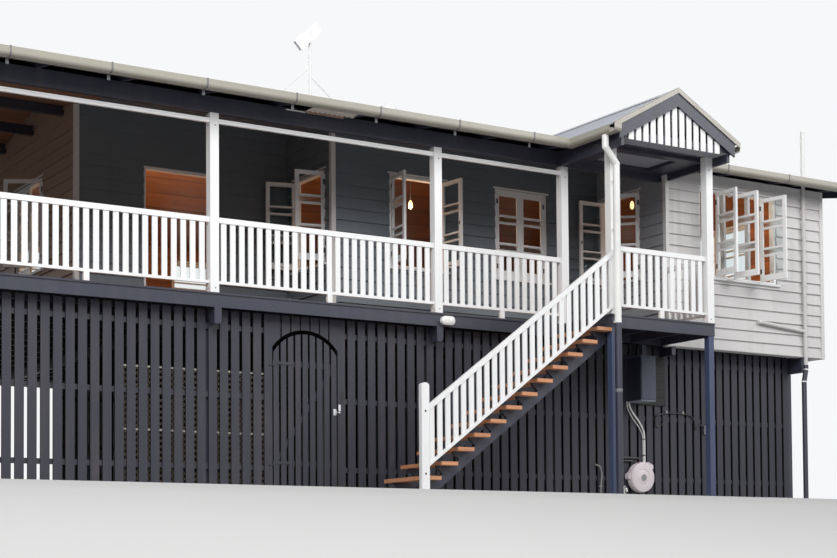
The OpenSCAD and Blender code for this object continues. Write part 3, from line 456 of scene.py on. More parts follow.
OBSCURE = Pane("obscure_glass", "glass", (0.82, 0.86, 0.86), 0.35, wear=Wear.CLEAN, bend=1.25, ripple=70.0,
               relief=0.003)
PLASTIC = Paint("white_plastic", "white_plastic", (0.78, 0.78, 0.76), 0.35, wear=Wear.CLEAN, brush=0.0001)
REEL = Paint("hose_reel_plastic", "white_plastic", (0.76, 0.68, 0.71), 0.4, dirt=(0.35, 0.30, 0.26),
             brush=0.0002)
LAMP = Glow("lamp_glass", "white_plastic", (1.0, 0.66, 0.28), 0.4, strength=1.35)
GALV = Metal("bright_steel", "grey_metal", (0.74, 0.75, 0.77), 0.35)
NETTING = Metal("brown_lattice", "grey_metal", (0.17, 0.135, 0.11), 0.6)
STRAP = Metal("lead_grey", "grey_metal", (0.16, 0.16, 0.17), 0.5)
IRON = Metal("dark_iron", "grey_metal", (0.035, 0.036, 0.042), 0.5, wear=Wear.DIRTY, dirt=(0.14, 0.08, 0.05))
IRON_GREY = Metal("pipe_grey", "grey_metal", (0.28, 0.28, 0.27), 0.4)
BLACK = Paint("black_plastic", "grey_metal", (0.015, 0.015, 0.017), 0.4, wear=Wear.CLEAN, brush=0.0001)
BACKING = Paint("backing_board", "grey_metal", (0.010, 0.010, 0.009), 0.7, wear=Wear.CLEAN,
                dirt=(0.02, 0.02, 0.02))
BOX_GREY = Metal("meter_box_grey", "grey_metal", (0.052, 0.064, 0.100), 0.5)
# Near-black sheet on the meter box's left side: painted shade.
BOX_SIDE_SHADE = Metal("meter_box_side_painted_shade", "grey_metal", (0.012, 0.015, 0.026), 0.6)

FINISH_OF_NODE: dict[Finish, tuple[str, ...]] = {
    LEG: ("porch_legs",),
    NAVY: ("stumps", "bearers", "floor_joists", "edge_beams", "veranda_beams", "porch_beams",
           "stair_stringers", "rafters", "barge_boards", "fascias"),
    BATTEN: ("side_and_back_screens",),
    FRONT_BATTEN_SIDE_SHADE: ("front_screens", "screen_over_gate", "arched_gate"),
    TRACK_PAINTED_LIGHT: ("screen_track",),
    WHITE: ("veranda_posts", "porch_posts", "veranda_balustrades", "porch_balustrades", "deck_balustrades",
            "stair_balustrade", "newel_post", "front_room_window", "front_room_side_window",
            "middle_wall_windows", "middle_side_window", "deck_window", "right_windows", "back_windows",
            "doorway_frame", "gable_battens"),
    GREY: ("front_room_wall", "right_wall", "back_wall"),
    SIDE: ("front_room_side_wall",),
    SHADE: ("middle_wall", "middle_side_wall", "inner_wall_left", "inner_wall_right",
            "inner_wall_head", "deck_wall"),
    TREAD: ("stair_treads",),
    DECK: ("veranda_deck", "house_floor"),
    ROOF: ("main_roof_front", "main_roof_back", "porch_roof"),
    CREAM: ("gutters",),
    GLASS: ("window_glass",),
    PLASTIC: ("downpipe", "vent_stack", "roof_vent", "antenna", "bulkhead_light", "hose_reel"),
    BOX_GREY: ("meter_box",),
}


@dataclass(frozen=True)
class Plan:
    """Driving sizes of the house in metres, in the measured plan."""

    floor: float = 2.6
    sill: float = 3.53
    head: float = 4.95
    x_left: float = -3.495
    x_deck: float = -0.690
    x_mid: float = 2.745
    x_p2: float = 3.495
    x_p3: float = 5.750
    x_room: float = 7.707
    x_right: float = 11.030
    y_room: float = -0.09
    y_mid: float = 1.62
    y_inner: float = 3.04
    y_back: float = 9.79
    y_porch: float = -1.156
    post: float = 0.125
    wall: float = 0.12
    wall_low: float = 2.387
    deck_low: float = 2.575
    screen: float = 0.200
    going: float = 0.266
    risers: int = 13
    slope: float = math.tan(math.radians(10.0))
    gable_slope: float = math.tan(math.radians(29.0))
    roof_zero: float = 5.290
    sheet: float = 0.0305
    rafter: float = 0.1016
    eave: float = 0.43
    verge: float = 0.45
    ridge_y: float = 4.85
    gable_front: float = -1.526
    gable_run: float = 1.1835
    gable_top: float = 5.905
    front_window: Flat = (0.673, 2.323)
    right_windows: tuple[Flat, ...] = ((1.5, 1.65), (5.2, 1.65), (7.7, 1.02))
    back_windows: tuple[Flat, ...] = ((1.3, 1.02), (4.3, 1.65), (8.3, 1.65))

    @property
    def gable_x(self) -> float:
        """Middle of the porch gable."""
        return (self.x_p3 + self.x_room) / 2

    @property
    def riser(self) -> float:
        """Height of one step of the stair."""
        return self.floor / self.risers

    def under_sheet(self, y: float) -> float:
        """Height of the top of the rafters at a place along the slope."""
        return self.roof_zero + (y if y < self.ridge_y else 2 * self.ridge_y - y) * self.slope

    def under_rafter(self, y: float) -> float:
        """Height of the underside of the rafters."""
        return self.under_sheet(y) - self.rafter

    def sheet_top(self, y: float) -> float:
        """Height of the top of the roof sheets."""
        return self.under_sheet(y) + self.sheet

    def slab(self, y0: float, y1: float, depth: float) -> list[Flat]:
        """Outline of a thin lining under the rafters.

        Args:
            y0: Its front end.
            y1: Its back end.
            depth: How far its lower face is below the rafters.

        Returns:
            The outline, seen from the left.
        """
        ends = ((y0, 0.001), (y1, 0.001), (y1, depth), (y0, depth))
        return [(y, self.under_rafter(y) - drop) for y, drop in ends]

    def lights(self, *spans: Flat) -> tuple[Span, ...]:
        """Window openings in a wall, each from a start to an end along it."""
        return tuple((a, b, self.sill, self.head) for a, b in spans)


PLAN = Plan()


@dataclass
class Site:
    """Places measured on the house, turned into the model's frame.

    The measured plan starts at the first full veranda post, at ground level.
    """

    bay: float = 3.495
    shift: Vector = field(default_factory=Vector)

    def settle(self) -> "Site":
        """Find the shift from the plan to the model's frame.

        Returns:
            This site.
        """
        low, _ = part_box("veranda_posts")
        self.shift = Vector((low.x + self.bay, low.y, 0.0))
        return self

    def at(self, x: float, y: float, z: float) -> Vector:
        """Turn a measured place into the model's frame."""
        return Vector((x, y, z)) + self.shift


@dataclass
class Studio:
    """Camera, pale floor and soft lamps."""

    site: Site
    eye: Point = (-9.32, -19.8076, -1.0875)
    yaw: float = math.radians(32.2683)
    pitch: float = math.radians(2.3153)
    roll: float = math.radians(-0.4193)
    focal: float = 1674.4532
    center: Flat = (418.5, 505.3111)
    image: tuple[int, int] = (837, 558)
    sensor: float = 36.0
    reach: float = 500.0
    half_width: float = 90.0
    levels: tuple[Flat, ...] = ((60.0, 0.0), (-1.42, 0.0), (-2.2, -0.04), (-4.0, -0.22), (-12.0, -1.3),
                                (-24.0, -2.9), (-60.0, -7.0))
    floor_color: Color = (0.52, 0.52, 0.51)
    floor_roughness: float = 0.9
    sky_color: Color = (0.145, 0.152, 0.168)
    seen_color: Color = (0.93, 0.94, 0.95)
    lamp_size: float = 12.0
    aim: Point = (0.0, 0.0, 3.0)
    lamps: tuple[tuple[str, Point, float], ...] = (("key_lamp", (-11.0, -19.5, 14.5), 4500.0),
                                                   ("fill_lamp", (14.5, -17.5, 14.5), 2250.0),
                                                   ("back_lamp", (4.0, 22.0, 18.0), 4200.0))

    def camera(self) -> None:
        """Set the camera at the photograph's place and angle."""
        level = math.cos(self.pitch)
        forward = Vector((math.sin(self.yaw) * level, math.cos(self.yaw) * level, math.sin(self.pitch)))
        right = Vector((math.cos(self.yaw), -math.sin(self.yaw), 0.0))
        up = right.cross(forward)
        turned_right = math.cos(self.roll) * right + math.sin(self.roll) * up
        turned_up = math.cos(self.roll) * up - math.sin(self.roll) * right
        data = bpy.data.cameras.new("view")
        data.sensor_width = self.sensor
        data.lens = self.focal * self.sensor / self.image[0]
        data.shift_x = (self.image[0] / 2 - self.center[0]) / self.image[0]
        data.shift_y = (self.center[1] - self.image[1] / 2) / self.image[0]
        data.clip_end = self.reach
        camera = bpy.data.objects.new("view", data)
        turn = Matrix((turned_right, turned_up, -forward)).transposed().to_4x4()
        camera.matrix_world = Matrix.Translation(self.site.at(*self.eye)) @ turn
        bpy.context.scene.collection.objects.link(camera)
        bpy.context.scene.camera = camera

    def floor(self) -> None:
        """Lay the pale floor: level round the house and falling toward the camera."""
        rows = [self.site.at(0.0, y, z) for y, z in self.levels]
        middle = self.site.shift.x
        verts = [(side * self.half_width + middle, row.y, row.z) for row in rows for side in (-1, 1)]
        faces = [(2 * k, 2 * k + 2, 2 * k + 3, 2 * k + 1) for k in range(len(rows) - 1)]
        mesh = bpy.data.meshes.new("studio_floor")
        mesh.from_pydata(verts, [], faces)
        mesh.update()
        material = bpy.data.materials.new("studio_floor")
        material.use_nodes = True
        shader = material.node_tree.nodes["Principled BSDF"]
        shader.inputs["Base Color"].default_value = opaque(self.floor_color)
        shader.inputs["Roughness"].default_value = self.floor_roughness
        mesh.materials.append(material)
        floor = bpy.data.objects.new("studio_floor", mesh)
        bpy.context.scene.collection.objects.link(floor)

    def light(self) -> None:
        """Light the scene softly from above and in front, before a white background."""
        scene = bpy.context.scene
        scene.world = bpy.data.worlds.new("studio")
        scene.world.use_nodes = True
        w = Wiring(scene.world.node_tree)
        path = w.node("ShaderNodeLightPath").outputs
        seen = w.math("MAXIMUM", path["Is Camera Ray"], path["Is Glossy Ray"])
        color = w.mix(seen, opaque(self.sky_color), opaque(self.seen_color))
        w.feed(w.tree.nodes["Background"].inputs, {"Color": color})
        for name, place, power in self.lamps:
            data = bpy.data.lights.new(name, "AREA")
            data.size = self.lamp_size
            data.energy = power
            lamp = bpy.data.objects.new(name, data)
            lamp.location = place
            aim = Vector(self.aim) - Vector(place)
            lamp.rotation_euler = aim.to_track_quat("-Z", "Y").to_euler()
            scene.collection.objects.link(lamp)
        scene.view_settings.view_transform = "Standard"


def strip(line: Sequence[Flat], depth: float) -> list[Flat]:
    """Outline of a strip of even depth below a line."""
    return [*line, *((u, v - depth) for u, v in reversed(line))]


class Shape:
    """Closed solids gathered into one mesh, in the measured plan."""

    def __init__(self, site: Site) -> None:
        """Start an empty mesh for a piece."""
        self.site = site
        self.mesh = bmesh.new()

    def loft(self, rings: Sequence[Sequence[Point]]) -> "Shape":
        """Skin a row of equal rings and close both ends.

        Args:
            rings: Rings with the same number of points, in order.

        Returns:
            This shape.
        """
        made = [[self.mesh.verts.new(self.site.at(*point)) for point in ring] for ring in rings]
        count = len(rings[0])
        for near, far in zip(made, made[1:]):
            for k in range(count):
                after = (k + 1) % count
                self.mesh.faces.new((near[k], near[after], far[after], far[k]))
        self.mesh.faces.new(list(reversed(made[0])))
        self.mesh.faces.new(made[-1])
        return self

    def box(self, low: Point, high: Point) -> "Shape":
        """Add a box between two corners."""
        (x0, y0, z0), (x1, y1, z1) = low, high
        return self.loft([[(x0, y0, z), (x1, y0, z), (x1, y1, z), (x0, y1, z)] for z in (z0, z1)])

    def prism(self, outline: Sequence[Flat], axis: str, start: float, end: float) -> "Shape":
        """Extrude an outline along an axis.

        Args:
            outline: Points across the axis, in the order of the other two axes.
            axis: The axis to extrude along: x, y or z.
            start: Where the extrusion starts.
            end: Where it ends.

        Returns:
            This shape.
        """
        at = "xyz".index(axis)
        return self.loft([[(*point[:at], s, *point[at:]) for point in outline] for s in (start, end)])

    def tube(self, points: Sequence[Point], radius: float, sides: int = 12) -> "Shape":
        """Sweep a round pipe through points, mitred at its bends.

        Args:
            points: The middle line.
            radius: Radius of the pipe.
            sides: Number of sides.

        Returns:
            This shape.
        """
        line = [Vector(point) for point in points]
        steps = [(b - a).normalized() for a, b in zip(line, line[1:])]
        across = steps[0].orthogonal().normalized()
        rings = []
        for k, middle in enumerate(line):
            before = steps[max(k - 1, 0)]
            after = steps[min(k, len(steps) - 1)]
            if k:
                across = (before.rotation_difference(after) @ across).normalized()
            normal = (before + after).normalized()
            other = after.cross(across).normalized()
            ring = []
            for n in range(sides):
                turn = 2 * math.pi * n / sides
                spoke = radius * (math.cos(turn) * across + math.sin(turn) * other)
                reach = spoke.dot(normal) / max(after.dot(normal), 0.2)
                ring.append(tuple(middle + spoke - after * reach))
            rings.append(ring)
        return self.loft(rings)

    def lathe(self, middle: Point, axis: Point, profile: Sequence[Flat], sides: int = 24) -> "Shape":
        """Turn a profile about an axis.

        Args:
            middle: A point on the axis.
            axis: Direction of the axis.
            profile: Radius and distance along the axis of each ring, the radii above zero.
            sides: Number of sides.

        Returns:
            This shape.
        """
        along = Vector(axis).normalized()
        across = along.orthogonal().normalized()
        other = along.cross(across)
        turns = [2 * math.pi * n / sides for n in range(sides)]
        spokes = [math.cos(t) * across + math.sin(t) * other for t in turns]
        return self.loft([[tuple(Vector(middle) + along * reach + radius * spoke) for spoke in spokes]
                          for radius, reach in profile])

    def bolt(self, middle: Point, axis: Point, radius: float = 0.009) -> "Shape":
        """Add a round-headed bolt with its washer."""
        return self.lathe(middle, axis, [(radius * 1.5, 0.0), (radius * 1.5, 0.0015), (radius, 0.0018),
                                         (radius * 0.9, 0.004), (radius * 0.5, 0.006)], 12)

    def cut_to_roof(self, drop: float) -> "Shape":
        """Cut away what lies less than a distance below the rafters and close the cut.

        Args:
            drop: Distance from the underside of the rafters.

        Returns:
            This shape.
        """
        p = PLAN
        top = self.site.at(0.0, p.ridge_y, p.under_rafter(p.ridge_y) - drop)
        for lean in (-p.slope, p.slope):
            parts = self.mesh.verts[:] + self.mesh.edges[:] + self.mesh.faces[:]
            found = bmesh.ops.bisect_plane(self.mesh, geom=parts, plane_co=top, plane_no=(0.0, lean, 1.0),
                                           clear_outer=True)
            edges = [part for part in found["geom_cut"] if isinstance(part, bmesh.types.BMEdge)]
            bmesh.ops.holes_fill(self.mesh, edges=edges, sides=0)
        return self

    def data(self, name: str) -> bpy.types.Mesh:
        """Turn the gathered solids into a mesh with faces outward.

        Args:
            name: Name of the mesh.

        Returns:
            The mesh.
        """
        bmesh.ops.recalc_face_normals(self.mesh, faces=self.mesh.faces)
        mesh = bpy.data.meshes.new(name)
        self.mesh.to_mesh(mesh)
        self.mesh.free()
        return mesh


def build_repeat_tree() -> bpy.types.GeometryNodeTree:
    """Make the Geometry Nodes tree that sets copies of a piece in rows.

    Returns:
        A tree with named inputs for the counts, the steps, the jitter, the seed and the material.
    """
    tree = bpy.data.node_groups.new("rows_of_pieces", "GeometryNodeTree")
    kinds = {"Geometry": "Geometry", "Count": "Int", "Step": "Vector", "Rows": "Int", "Row step": "Vector",
             "Jitter": "Float", "Seed": "Int", "Material": "Material"}
    for label, kind in kinds.items():
        tree.interface.new_socket(name=label, in_out="INPUT", socket_type="NodeSocket" + kind)
    tree.interface.new_socket(name="Geometry", in_out="OUTPUT", socket_type="NodeSocketGeometry")
    w = Wiring(tree)
    given = w.node("NodeGroupInput").outputs
    out = w.node("NodeGroupOutput").inputs
    geometry = given["Geometry"]
    for number, step in (("Count", "Step"), ("Rows", "Row step")):
        line = w.node("GeometryNodeMeshLine", {"Count": given[number], "Offset": given[step]}, mode="OFFSET")
        copies = w.node("GeometryNodeInstanceOnPoints", {"Points": line.outputs[0], "Instance": geometry})
        geometry = copies.outputs[0]
    far = given["Jitter"]
    low, high = (w.node("ShaderNodeCombineXYZ", {0: end, 1: end, 2: end}).outputs[0]
                 for end in (w.math("MULTIPLY", far, -1.0), far))
    ends = {0: low, 1: high, "Seed": given["Seed"]}
    stray = w.node("FunctionNodeRandomValue", ends, data_type="FLOAT_VECTOR").outputs[0]
    moved = w.node("GeometryNodeTranslateInstances", {"Instances": geometry, "Translation": stray})
    real = w.node("GeometryNodeRealizeInstances", {0: moved.outputs[0]})
    paint = w.node("GeometryNodeSetMaterial", {"Geometry": real.outputs[0], "Material": given["Material"]})
    w.feed(out, {0: paint.outputs[0]})
    return tree


@dataclass
class Workshop:
    """Finishes pieces: materials, slots, bodies and repeated pieces."""

    site: Site
    materials: dict[str, bpy.types.Material]
    groups: Groups
    repeat: bpy.types.GeometryNodeTree = field(default_factory=build_repeat_tree)
    seed: int = 7
    smooth_angle: float = math.radians(35)
    names: list[str] = field(default_factory=list)

    def shape(self) -> Shape:
        """Start a new shape."""
        return Shape(self.site)

    def material(self, finish: Finish) -> bpy.types.Material:
        """Find a finish's material, which is made when first asked for.

        Args:
            finish: The finish.

        Returns:
            The material.
        """
        if finish.name not in self.materials:
            self.materials[finish.name] = finish.make(self.groups)
        return self.materials[finish.name]

    def piece(self, shape: Shape, name: str, finish: Finish, body: str = HOUSE, smooth: bool = False,
              instead: Sequence[str] = ()) -> bpy.types.Object:
        """Make a finished piece from a shape.

        Args:
            shape: The shape.
            name: Name of the piece.
            finish: Its finish.
            body: The body it rides on.
            smooth: Whether its round faces are shaded smooth.
            instead: CAD nodes it stands for.

        Returns:
            The piece.
        """
        mesh = shape.data(name)
        mesh.materials.append(self.material(finish))
        if smooth:
            mesh.shade_smooth()
            mesh.set_sharp_from_angle(angle=self.smooth_angle)
        return self.settle(mesh, finish, body, instead)

    def block(self, name: str, finish: Finish, low: Point, high: Point) -> None:
        """Make a piece that is one box between two corners."""
        self.piece(self.shape().box(low, high), name, finish)

    def settle(self, mesh: bpy.types.Mesh, finish: Finish, body: str,
               instead: Sequence[str]) -> bpy.types.Object:
        """Args:
            mesh: The mesh, which gives the piece its name.
            finish: Its finish; not used.
            body: The body it rides on.
            instead: CAD nodes it stands for.

        Returns:
            The piece.
        """
        made = bpy.data.objects.new(mesh.name, mesh)
        bpy.context.scene.collection.objects.link(made)
        self.names.append(made.name)
        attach(made, body)
        if instead:
            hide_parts(*instead)
        return made

    def rows(self, shape: Shape, name: str, finish: Finish, count: tuple[int, int],
             steps: tuple[Point, Point], jitter: float = 0.0,
             instead: Sequence[str] = ()) -> bpy.types.Object:
        """Repeat a shape in rows with Geometry Nodes and keep the plain mesh.

        Args:
            shape: The piece to repeat, at the first place.
            name: Name of the piece.
            finish: Its finish.
            count: Number in a row and number of rows.
            steps: Step within a row and step from row to row.
            jitter: How far each copy may stray.
            instead: CAD nodes it stands for.

        Returns:
            The piece.
        """
        host = bpy.data.objects.new(name + "_template", shape.data(name + "_template"))
        bpy.context.scene.collection.objects.link(host)
        modifier = host.modifiers.new("repeat", "NODES")
        modifier.node_group = self.repeat
        values = {"Count": count[0], "Step": steps[0], "Rows": count[1], "Row step": steps[1],
                  "Jitter": jitter, "Seed": self.seed, "Material": self.material(finish)}
        for item in self.repeat.interface.items_tree:
            if item.in_out == "INPUT" and item.name in values:
                modifier[item.identifier] = values[item.name]
        bpy.context.view_layer.update()
        graph = bpy.context.evaluated_depsgraph_get()
        mesh = bpy.data.meshes.new_from_object(host.evaluated_get(graph), preserve_all_data_layers=True,
                                               depsgraph=graph)
        mesh.name = name
        bpy.data.objects.remove(host)
        return self.settle(mesh, finish, HOUSE, instead)


@dataclass(frozen=True)
class WallFace:
    """Face of a wall that carries boards: where it starts, which way it runs, and its openings."""

    name: str
    start: Flat
    along: tuple[int, int]
    length: float
    low: float
    high: float
    holes: tuple[Span, ...] = ()
    sloped: bool = False
    # Faces under the veranda default to the dark grey of painted shade.
    finish: Finish = SHADE

    def at(self, s: float, out: float, z: float) -> Point:
        """Place a point at a distance along the face and out of it."""
        (x, y), (dx, dy) = self.start, self.along
        return (x + dx * s + dy * out, y + dy * s - dx * out, z)

    def spans(self, low: float, high: float) -> list[Span]:
        """Split one course of boards round the openings.

        Args:
            low: Lower edge of the course.
            high: Upper edge of the course.

        Returns:
            Start, end, lower edge and upper edge of each length of board.
        """
        spans = []
        start = 0.0
        for a, b, z0, z1 in sorted(self.holes):
            if high <= z0 or low >= z1:
                continue
            spans.append((start, a, low, high))
            if low < z0:
                spans.append((a, b, low, z0))
            if high > z1:
                spans.append((a, b, z1, high))
            start = b
        spans.append((start, self.length, low, high))
        return [span for span in spans if span[1] - span[0] > 0.02 and span[3] - span[2] > 0.004]

    def board(self, shape: Shape, span: Span, below: float, above: float) -> None:
        """Add one length of board.

        Args:
            shape: The boards of the face.
            span: Its start, end, lower edge and upper edge.
            below: Its thickness at the lower edge.
            above: Its thickness at the upper edge.
        """
        a, b, z0, z1 = span
        outline = ((0.0, z0), (below, z0), (above, z1), (0.0, z1))
        shape.loft([[self.at(s, out, z) for out, z in outline] for s in (a, b)])


@dataclass
class Cladding:
    """Weatherboards on the outer walls, their stops at the corners and the linings under the roof."""

    shop: Workshop
    cover: float = 0.1757
    first_line: float = 2.397
    thick: float = 0.030
    thin: float = 0.006
    stop: Flat = (0.034, 0.036)
    lining: float = 0.011
    frieze_low: float = 4.985

    def faces(self) -> list[WallFace]:
        """List the outer faces with their openings.

        Returns:
            The faces of the front room, middle room, inner rooms, side deck, right side and back.
        """
        p = PLAN
        back = p.x_right - p.x_deck - p.wall
        right_windows = p.lights(*((a + p.wall, a + p.wall + w) for a, w in p.right_windows))
        back_windows = p.lights(*((back - a - w, back - a) for a, w in p.back_windows))
        return [
            WallFace("front_room", (p.x_room, p.y_room), (1, 0), p.x_right - p.x_room, p.wall_low,
                     p.under_rafter(p.y_room) - 0.002, p.lights(p.front_window), finish=GREY),
            WallFace("front_room_side", (p.x_room, p.y_mid), (0, -1), p.y_mid - p.y_room, p.floor, 5.46,
                     p.lights((0.08, 1.10)), True, SIDE),
            WallFace("middle", (p.x_mid, p.y_mid), (1, 0), p.x_room - p.x_mid, p.floor,
                     p.under_rafter(p.y_mid) - 0.01, p.lights((0.975, 1.995), (2.915, 3.935))),
            WallFace("middle_side", (p.x_mid, p.y_inner), (0, -1), p.y_inner - p.y_mid, p.floor, 5.72,
                     p.lights((0.20, 1.22)), True),
            WallFace("inner", (p.x_deck, p.y_inner), (1, 0), p.x_mid - p.x_deck, p.floor,
                     p.under_rafter(p.y_inner) - 0.01, ((1.04, 2.24, 2.0, p.head),)),
            WallFace("side_deck", (p.x_deck, p.y_back), (0, -1), p.y_back - p.y_inner, p.floor, 6.03,
                     p.lights((4.11, 5.39)), True, GREY_WARM),
            WallFace("right", (p.x_right, p.y_room), (0, 1), p.y_back - p.y_room, p.wall_low, 6.03,
                     right_windows, True, GREY),
            WallFace("back", (p.x_right, p.y_back), (-1, 0), p.x_right - p.x_deck, p.wall_low,
                     p.under_rafter(p.y_back) - 0.002, back_windows, finish=GREY),
        ]

    def reach(self, above: float) -> float:
        """Thickness of a board at a height above its lower edge."""
        return self.thick - (self.thick - self.thin) * above / self.cover

    def boards(self, face: WallFace) -> None:
        """Clad one face with lapped boards.

        Args:
            face: The face.
        """
        shape = self.shop.shape()
        line = self.first_line - self.cover
        while line < face.high:
            low, high = max(line, face.low), min(line + self.cover, face.high)
            if high - low > 0.004:
                for span in face.spans(low, high):
                    face.board(shape, span, self.reach(span[2] - line), self.reach(span[3] - line))
            line += self.cover
        if face.sloped:
            shape.cut_to_roof(0.003)
        self.shop.piece(shape, face.name + "_weatherboards", face.finish)

    def stops(self) -> None:
        """Set corner boards and the frieze of the front room."""
        p, (w, t) = PLAN, self.stop
        shape = self.shop.shape()
        for x, y, sx, sy in ((p.x_room, p.y_room, -1, -1), (p.x_right, p.y_room, 1, -1),
                             (p.x_right, p.y_back, 1, 1), (p.x_mid, p.y_mid, -1, -1),
                             (p.x_deck, p.y_inner, -1, -1)):
            low = p.wall_low if y in (p.y_room, p.y_back) else p.floor
            xo, yo, xi, yi = x + sx * t, y + sy * t, x - sx * w, y - sy * w
            outline = [(xo, yo), (xi, yo), (xi, y), (x, y), (x, yi), (xo, yi)]
            shape.prism(outline, "z", low, p.under_rafter(y) - 0.012)
        self.shop.piece(shape, "corner_boards", WHITE_GREY)
        self.shop.block("front_room_frieze", GREY, (p.x_room + w, p.y_room - 0.028, self.frieze_low),
                        (p.x_right - w, p.y_room, p.under_rafter(p.y_room) - 0.012))

    def linings(self) -> None:
        """Line the underside of the rafters over the side deck and the veranda."""
        p = PLAN
        left, wall, corner = p.x_left + 0.1, p.x_deck - 0.03, p.x_mid - 0.03
        deck = ((left, wall, 0.1, p.ridge_y), (left, wall, p.ridge_y, p.y_back - 0.1))
        veranda = ((wall, corner, 0.1, p.y_inner - 0.03), (corner, p.x_room - 0.04, 0.1, p.y_mid - 0.03))
        # The veranda's lining takes the dark grey of painted shade.
        for name, finish, parts in (("side_deck_ceiling", CEILING, deck),
                                    ("veranda_ceiling", SHADE, veranda)):
            shape = self.shop.shape()
            for x0, x1, y0, y1 in parts:
                shape.prism(p.slab(y0, y1, self.lining), "x", x0, x1)
            self.shop.piece(shape, name, finish)

    def build(self) -> None:
        """Clad every wall."""
        for face in self.faces():
            self.boards(face)
        self.stops()
        self.linings()


@dataclass
class RoofSheets:
    """Corrugated sheets, their battens, ridge and barge cappings and the porch soffit."""

    shop: Workshop
    pitch: float = 0.076
    rise: float = 0.008
    gauge: float = 0.002
    parts: int = 6
    batten: float = 0.84
    batten_start: float = 0.30
    half_batten: float = 0.035
    cap: float = 0.003
    cap_depth: float = 0.075
    wing: float = 0.17
    porch_ridge_end: float = 3.2
    soffit_low: float = 5.097
    frame: Flat = (0.42, 0.16)

    def wave(self, s: float) -> float:
        """Height of the corrugation at a distance across the sheets."""
        return self.rise * (math.cos(2 * math.pi * s / self.pitch) - 1.0)

    def stations(self, start: float, end: float) -> list[float]:
        """Places across the sheets where the corrugation is drawn."""
        count = int((end - start) / self.pitch * self.parts)
        return [start + (end - start) * k / count for k in range(count + 1)]

    def lay(self, name: str, finish: Finish, ends: Flat, near: Flat, far: Flat,
            instead: Sequence[str] = ()) -> None:
        """Lay one corrugated sheet whose waves run from front to back.

        Args:
            name: Name of the piece.
            finish: Its finish.
            ends: Where the sheet starts and ends, from left to right.
            near: Depth and height of its front edge.
            far: Depth and height of its back edge.
            instead: CAD nodes it stands for.
        """
        rings = []
        for x in self.stations(*ends):
            lift = self.wave(x)
            rings.append([(x, y, z + lift - drop) for (y, z), drop in (
                (near, 0.0), (far, 0.0), (far, self.gauge), (near, self.gauge))])
        self.shop.piece(self.shop.shape().loft(rings), name, finish, smooth=True, instead=instead)

    def porch_slopes(self) -> None:
        """Sheet the porch gable down to the eaves and the valleys."""
        p = PLAN
        shape = self.shop.shape()
        back = (p.gable_top - p.roof_zero - p.sheet) / p.slope
        for side in (-1, 1):
            rings = []
            for y in self.stations(p.gable_front, back - 0.02):
                valley = (p.gable_top - p.sheet_top(y)) / p.gable_slope
                reach = p.gable_run if y < -p.eave else max(valley, 0.01)
                corners = ((0.0, 0.0), (reach, 0.0), (reach, self.gauge), (0.0, self.gauge))
                lift = self.wave(y)
                rings.append([(p.gable_x + side * d, y, p.gable_top - d * p.gable_slope + lift - drop)
                              for d, drop in corners])
            shape.loft(rings)
        self.shop.piece(shape, "porch_roof_sheets", ROOF, smooth=True, instead=("porch_roof",))

    def battens(self) -> None:
        """Set roof battens between the rafters and the sheets."""
        p = PLAN
        shape = self.shop.shape()
        depth = p.sheet - 2 * self.rise - 0.003
        for k in range(7):
            start = k * self.batten - self.batten_start
            for y in (start, 2 * p.ridge_y - start):
                low = [(s, p.under_sheet(s)) for s in (y - self.half_batten, y + self.half_batten)]
                shape.prism(strip(low, -depth), "x", p.x_left - p.verge + 0.03, p.x_right + p.verge - 0.03)
        self.shop.piece(shape, "roof_battens", NAVY)

    def fold(self, middle: float, top: float, slope: float) -> list[Flat]:
        """Outline of a ridge cap with two wings."""
        line = [(middle + s * self.wing, top - abs(s) * self.wing * slope) for s in (-1, 0, 1)]
        return strip(line, self.cap)

    def capping(self) -> None:
        """Fold the ridge caps, the barge caps of the porch and the verge caps."""
        p = PLAN
        shape, barge = self.shop.shape(), self.shop.shape()
        left, right, front = p.x_left - p.verge, p.x_right + p.verge, p.gable_front
        top = p.sheet_top(p.ridge_y) + 0.012
        shape.prism(self.fold(p.ridge_y, top, p.slope), "x", left - 0.01, right + 0.01)
        crest = p.gable_top + 0.008
        shape.prism(self.fold(p.gable_x, crest, p.gable_slope), "y", front - 0.012, self.porch_ridge_end)
        for side in (-1, 1):
            line = [(p.gable_x + side * d, crest + 0.004 - d * p.gable_slope)
                    for d in (0.0, p.gable_run + 0.005)]
            barge.prism(strip(line, self.cap_depth), "y", front - 0.018, front - 0.002)
            barge.prism(strip(line, self.cap), "y", front - 0.018, front + 0.10)
        for x in (left - 0.006, right + 0.006):
            for ends in ((-p.eave, p.ridge_y), (p.ridge_y, 2 * p.ridge_y + p.eave)):
                line = [(y, p.sheet_top(y) + 0.006) for y in ends]
                shape.prism(strip(line, 0.056), "x", x - 0.004, x + 0.004)
        self.shop.piece(shape, "roof_capping", ROOF)
        self.shop.piece(barge, "barge_capping", CREAM)

    def soffit(self) -> None:
        """Line the porch with a corrugated sheet and, behind the posts, a grey panel in a dark frame that is
        partly beams and partly painted shade.
        """
        p, (side, end), low = PLAN, self.frame, self.soffit_low
        self.lay("porch_soffit_sheet", SOFFIT, (p.x_p3 + 0.003, p.x_room - 0.003),
                 (p.gable_front + 0.052, low), (p.y_porch - 0.002, low))
        self.shop.block("porch_ceiling_panel", SOFFIT, (p.x_p3 + 0.01, p.y_porch + 0.17, low + 0.003),
                        (p.x_room - 0.01, -0.01, low + 0.015))
        x0, x1, front = p.x_p3 + 0.001, p.x_room - 0.001, p.y_porch + 0.166
        # The navy frame stands partly for beams and partly for painted shade round the panel.
        frame = self.shop.shape()
        for near, far in (((x0, front), (x1, front + end)), ((x0, -end), (x1, -0.002)),
                          ((x0, front + end), (p.x_p3 + side, -end)),
                          ((p.x_room - side, front + end), (x1, -end))):
            frame.box((*near, low - 0.047), (*far, low + 0.0025))
        self.shop.piece(frame, "porch_ceiling_frame_and_shade", NAVY)

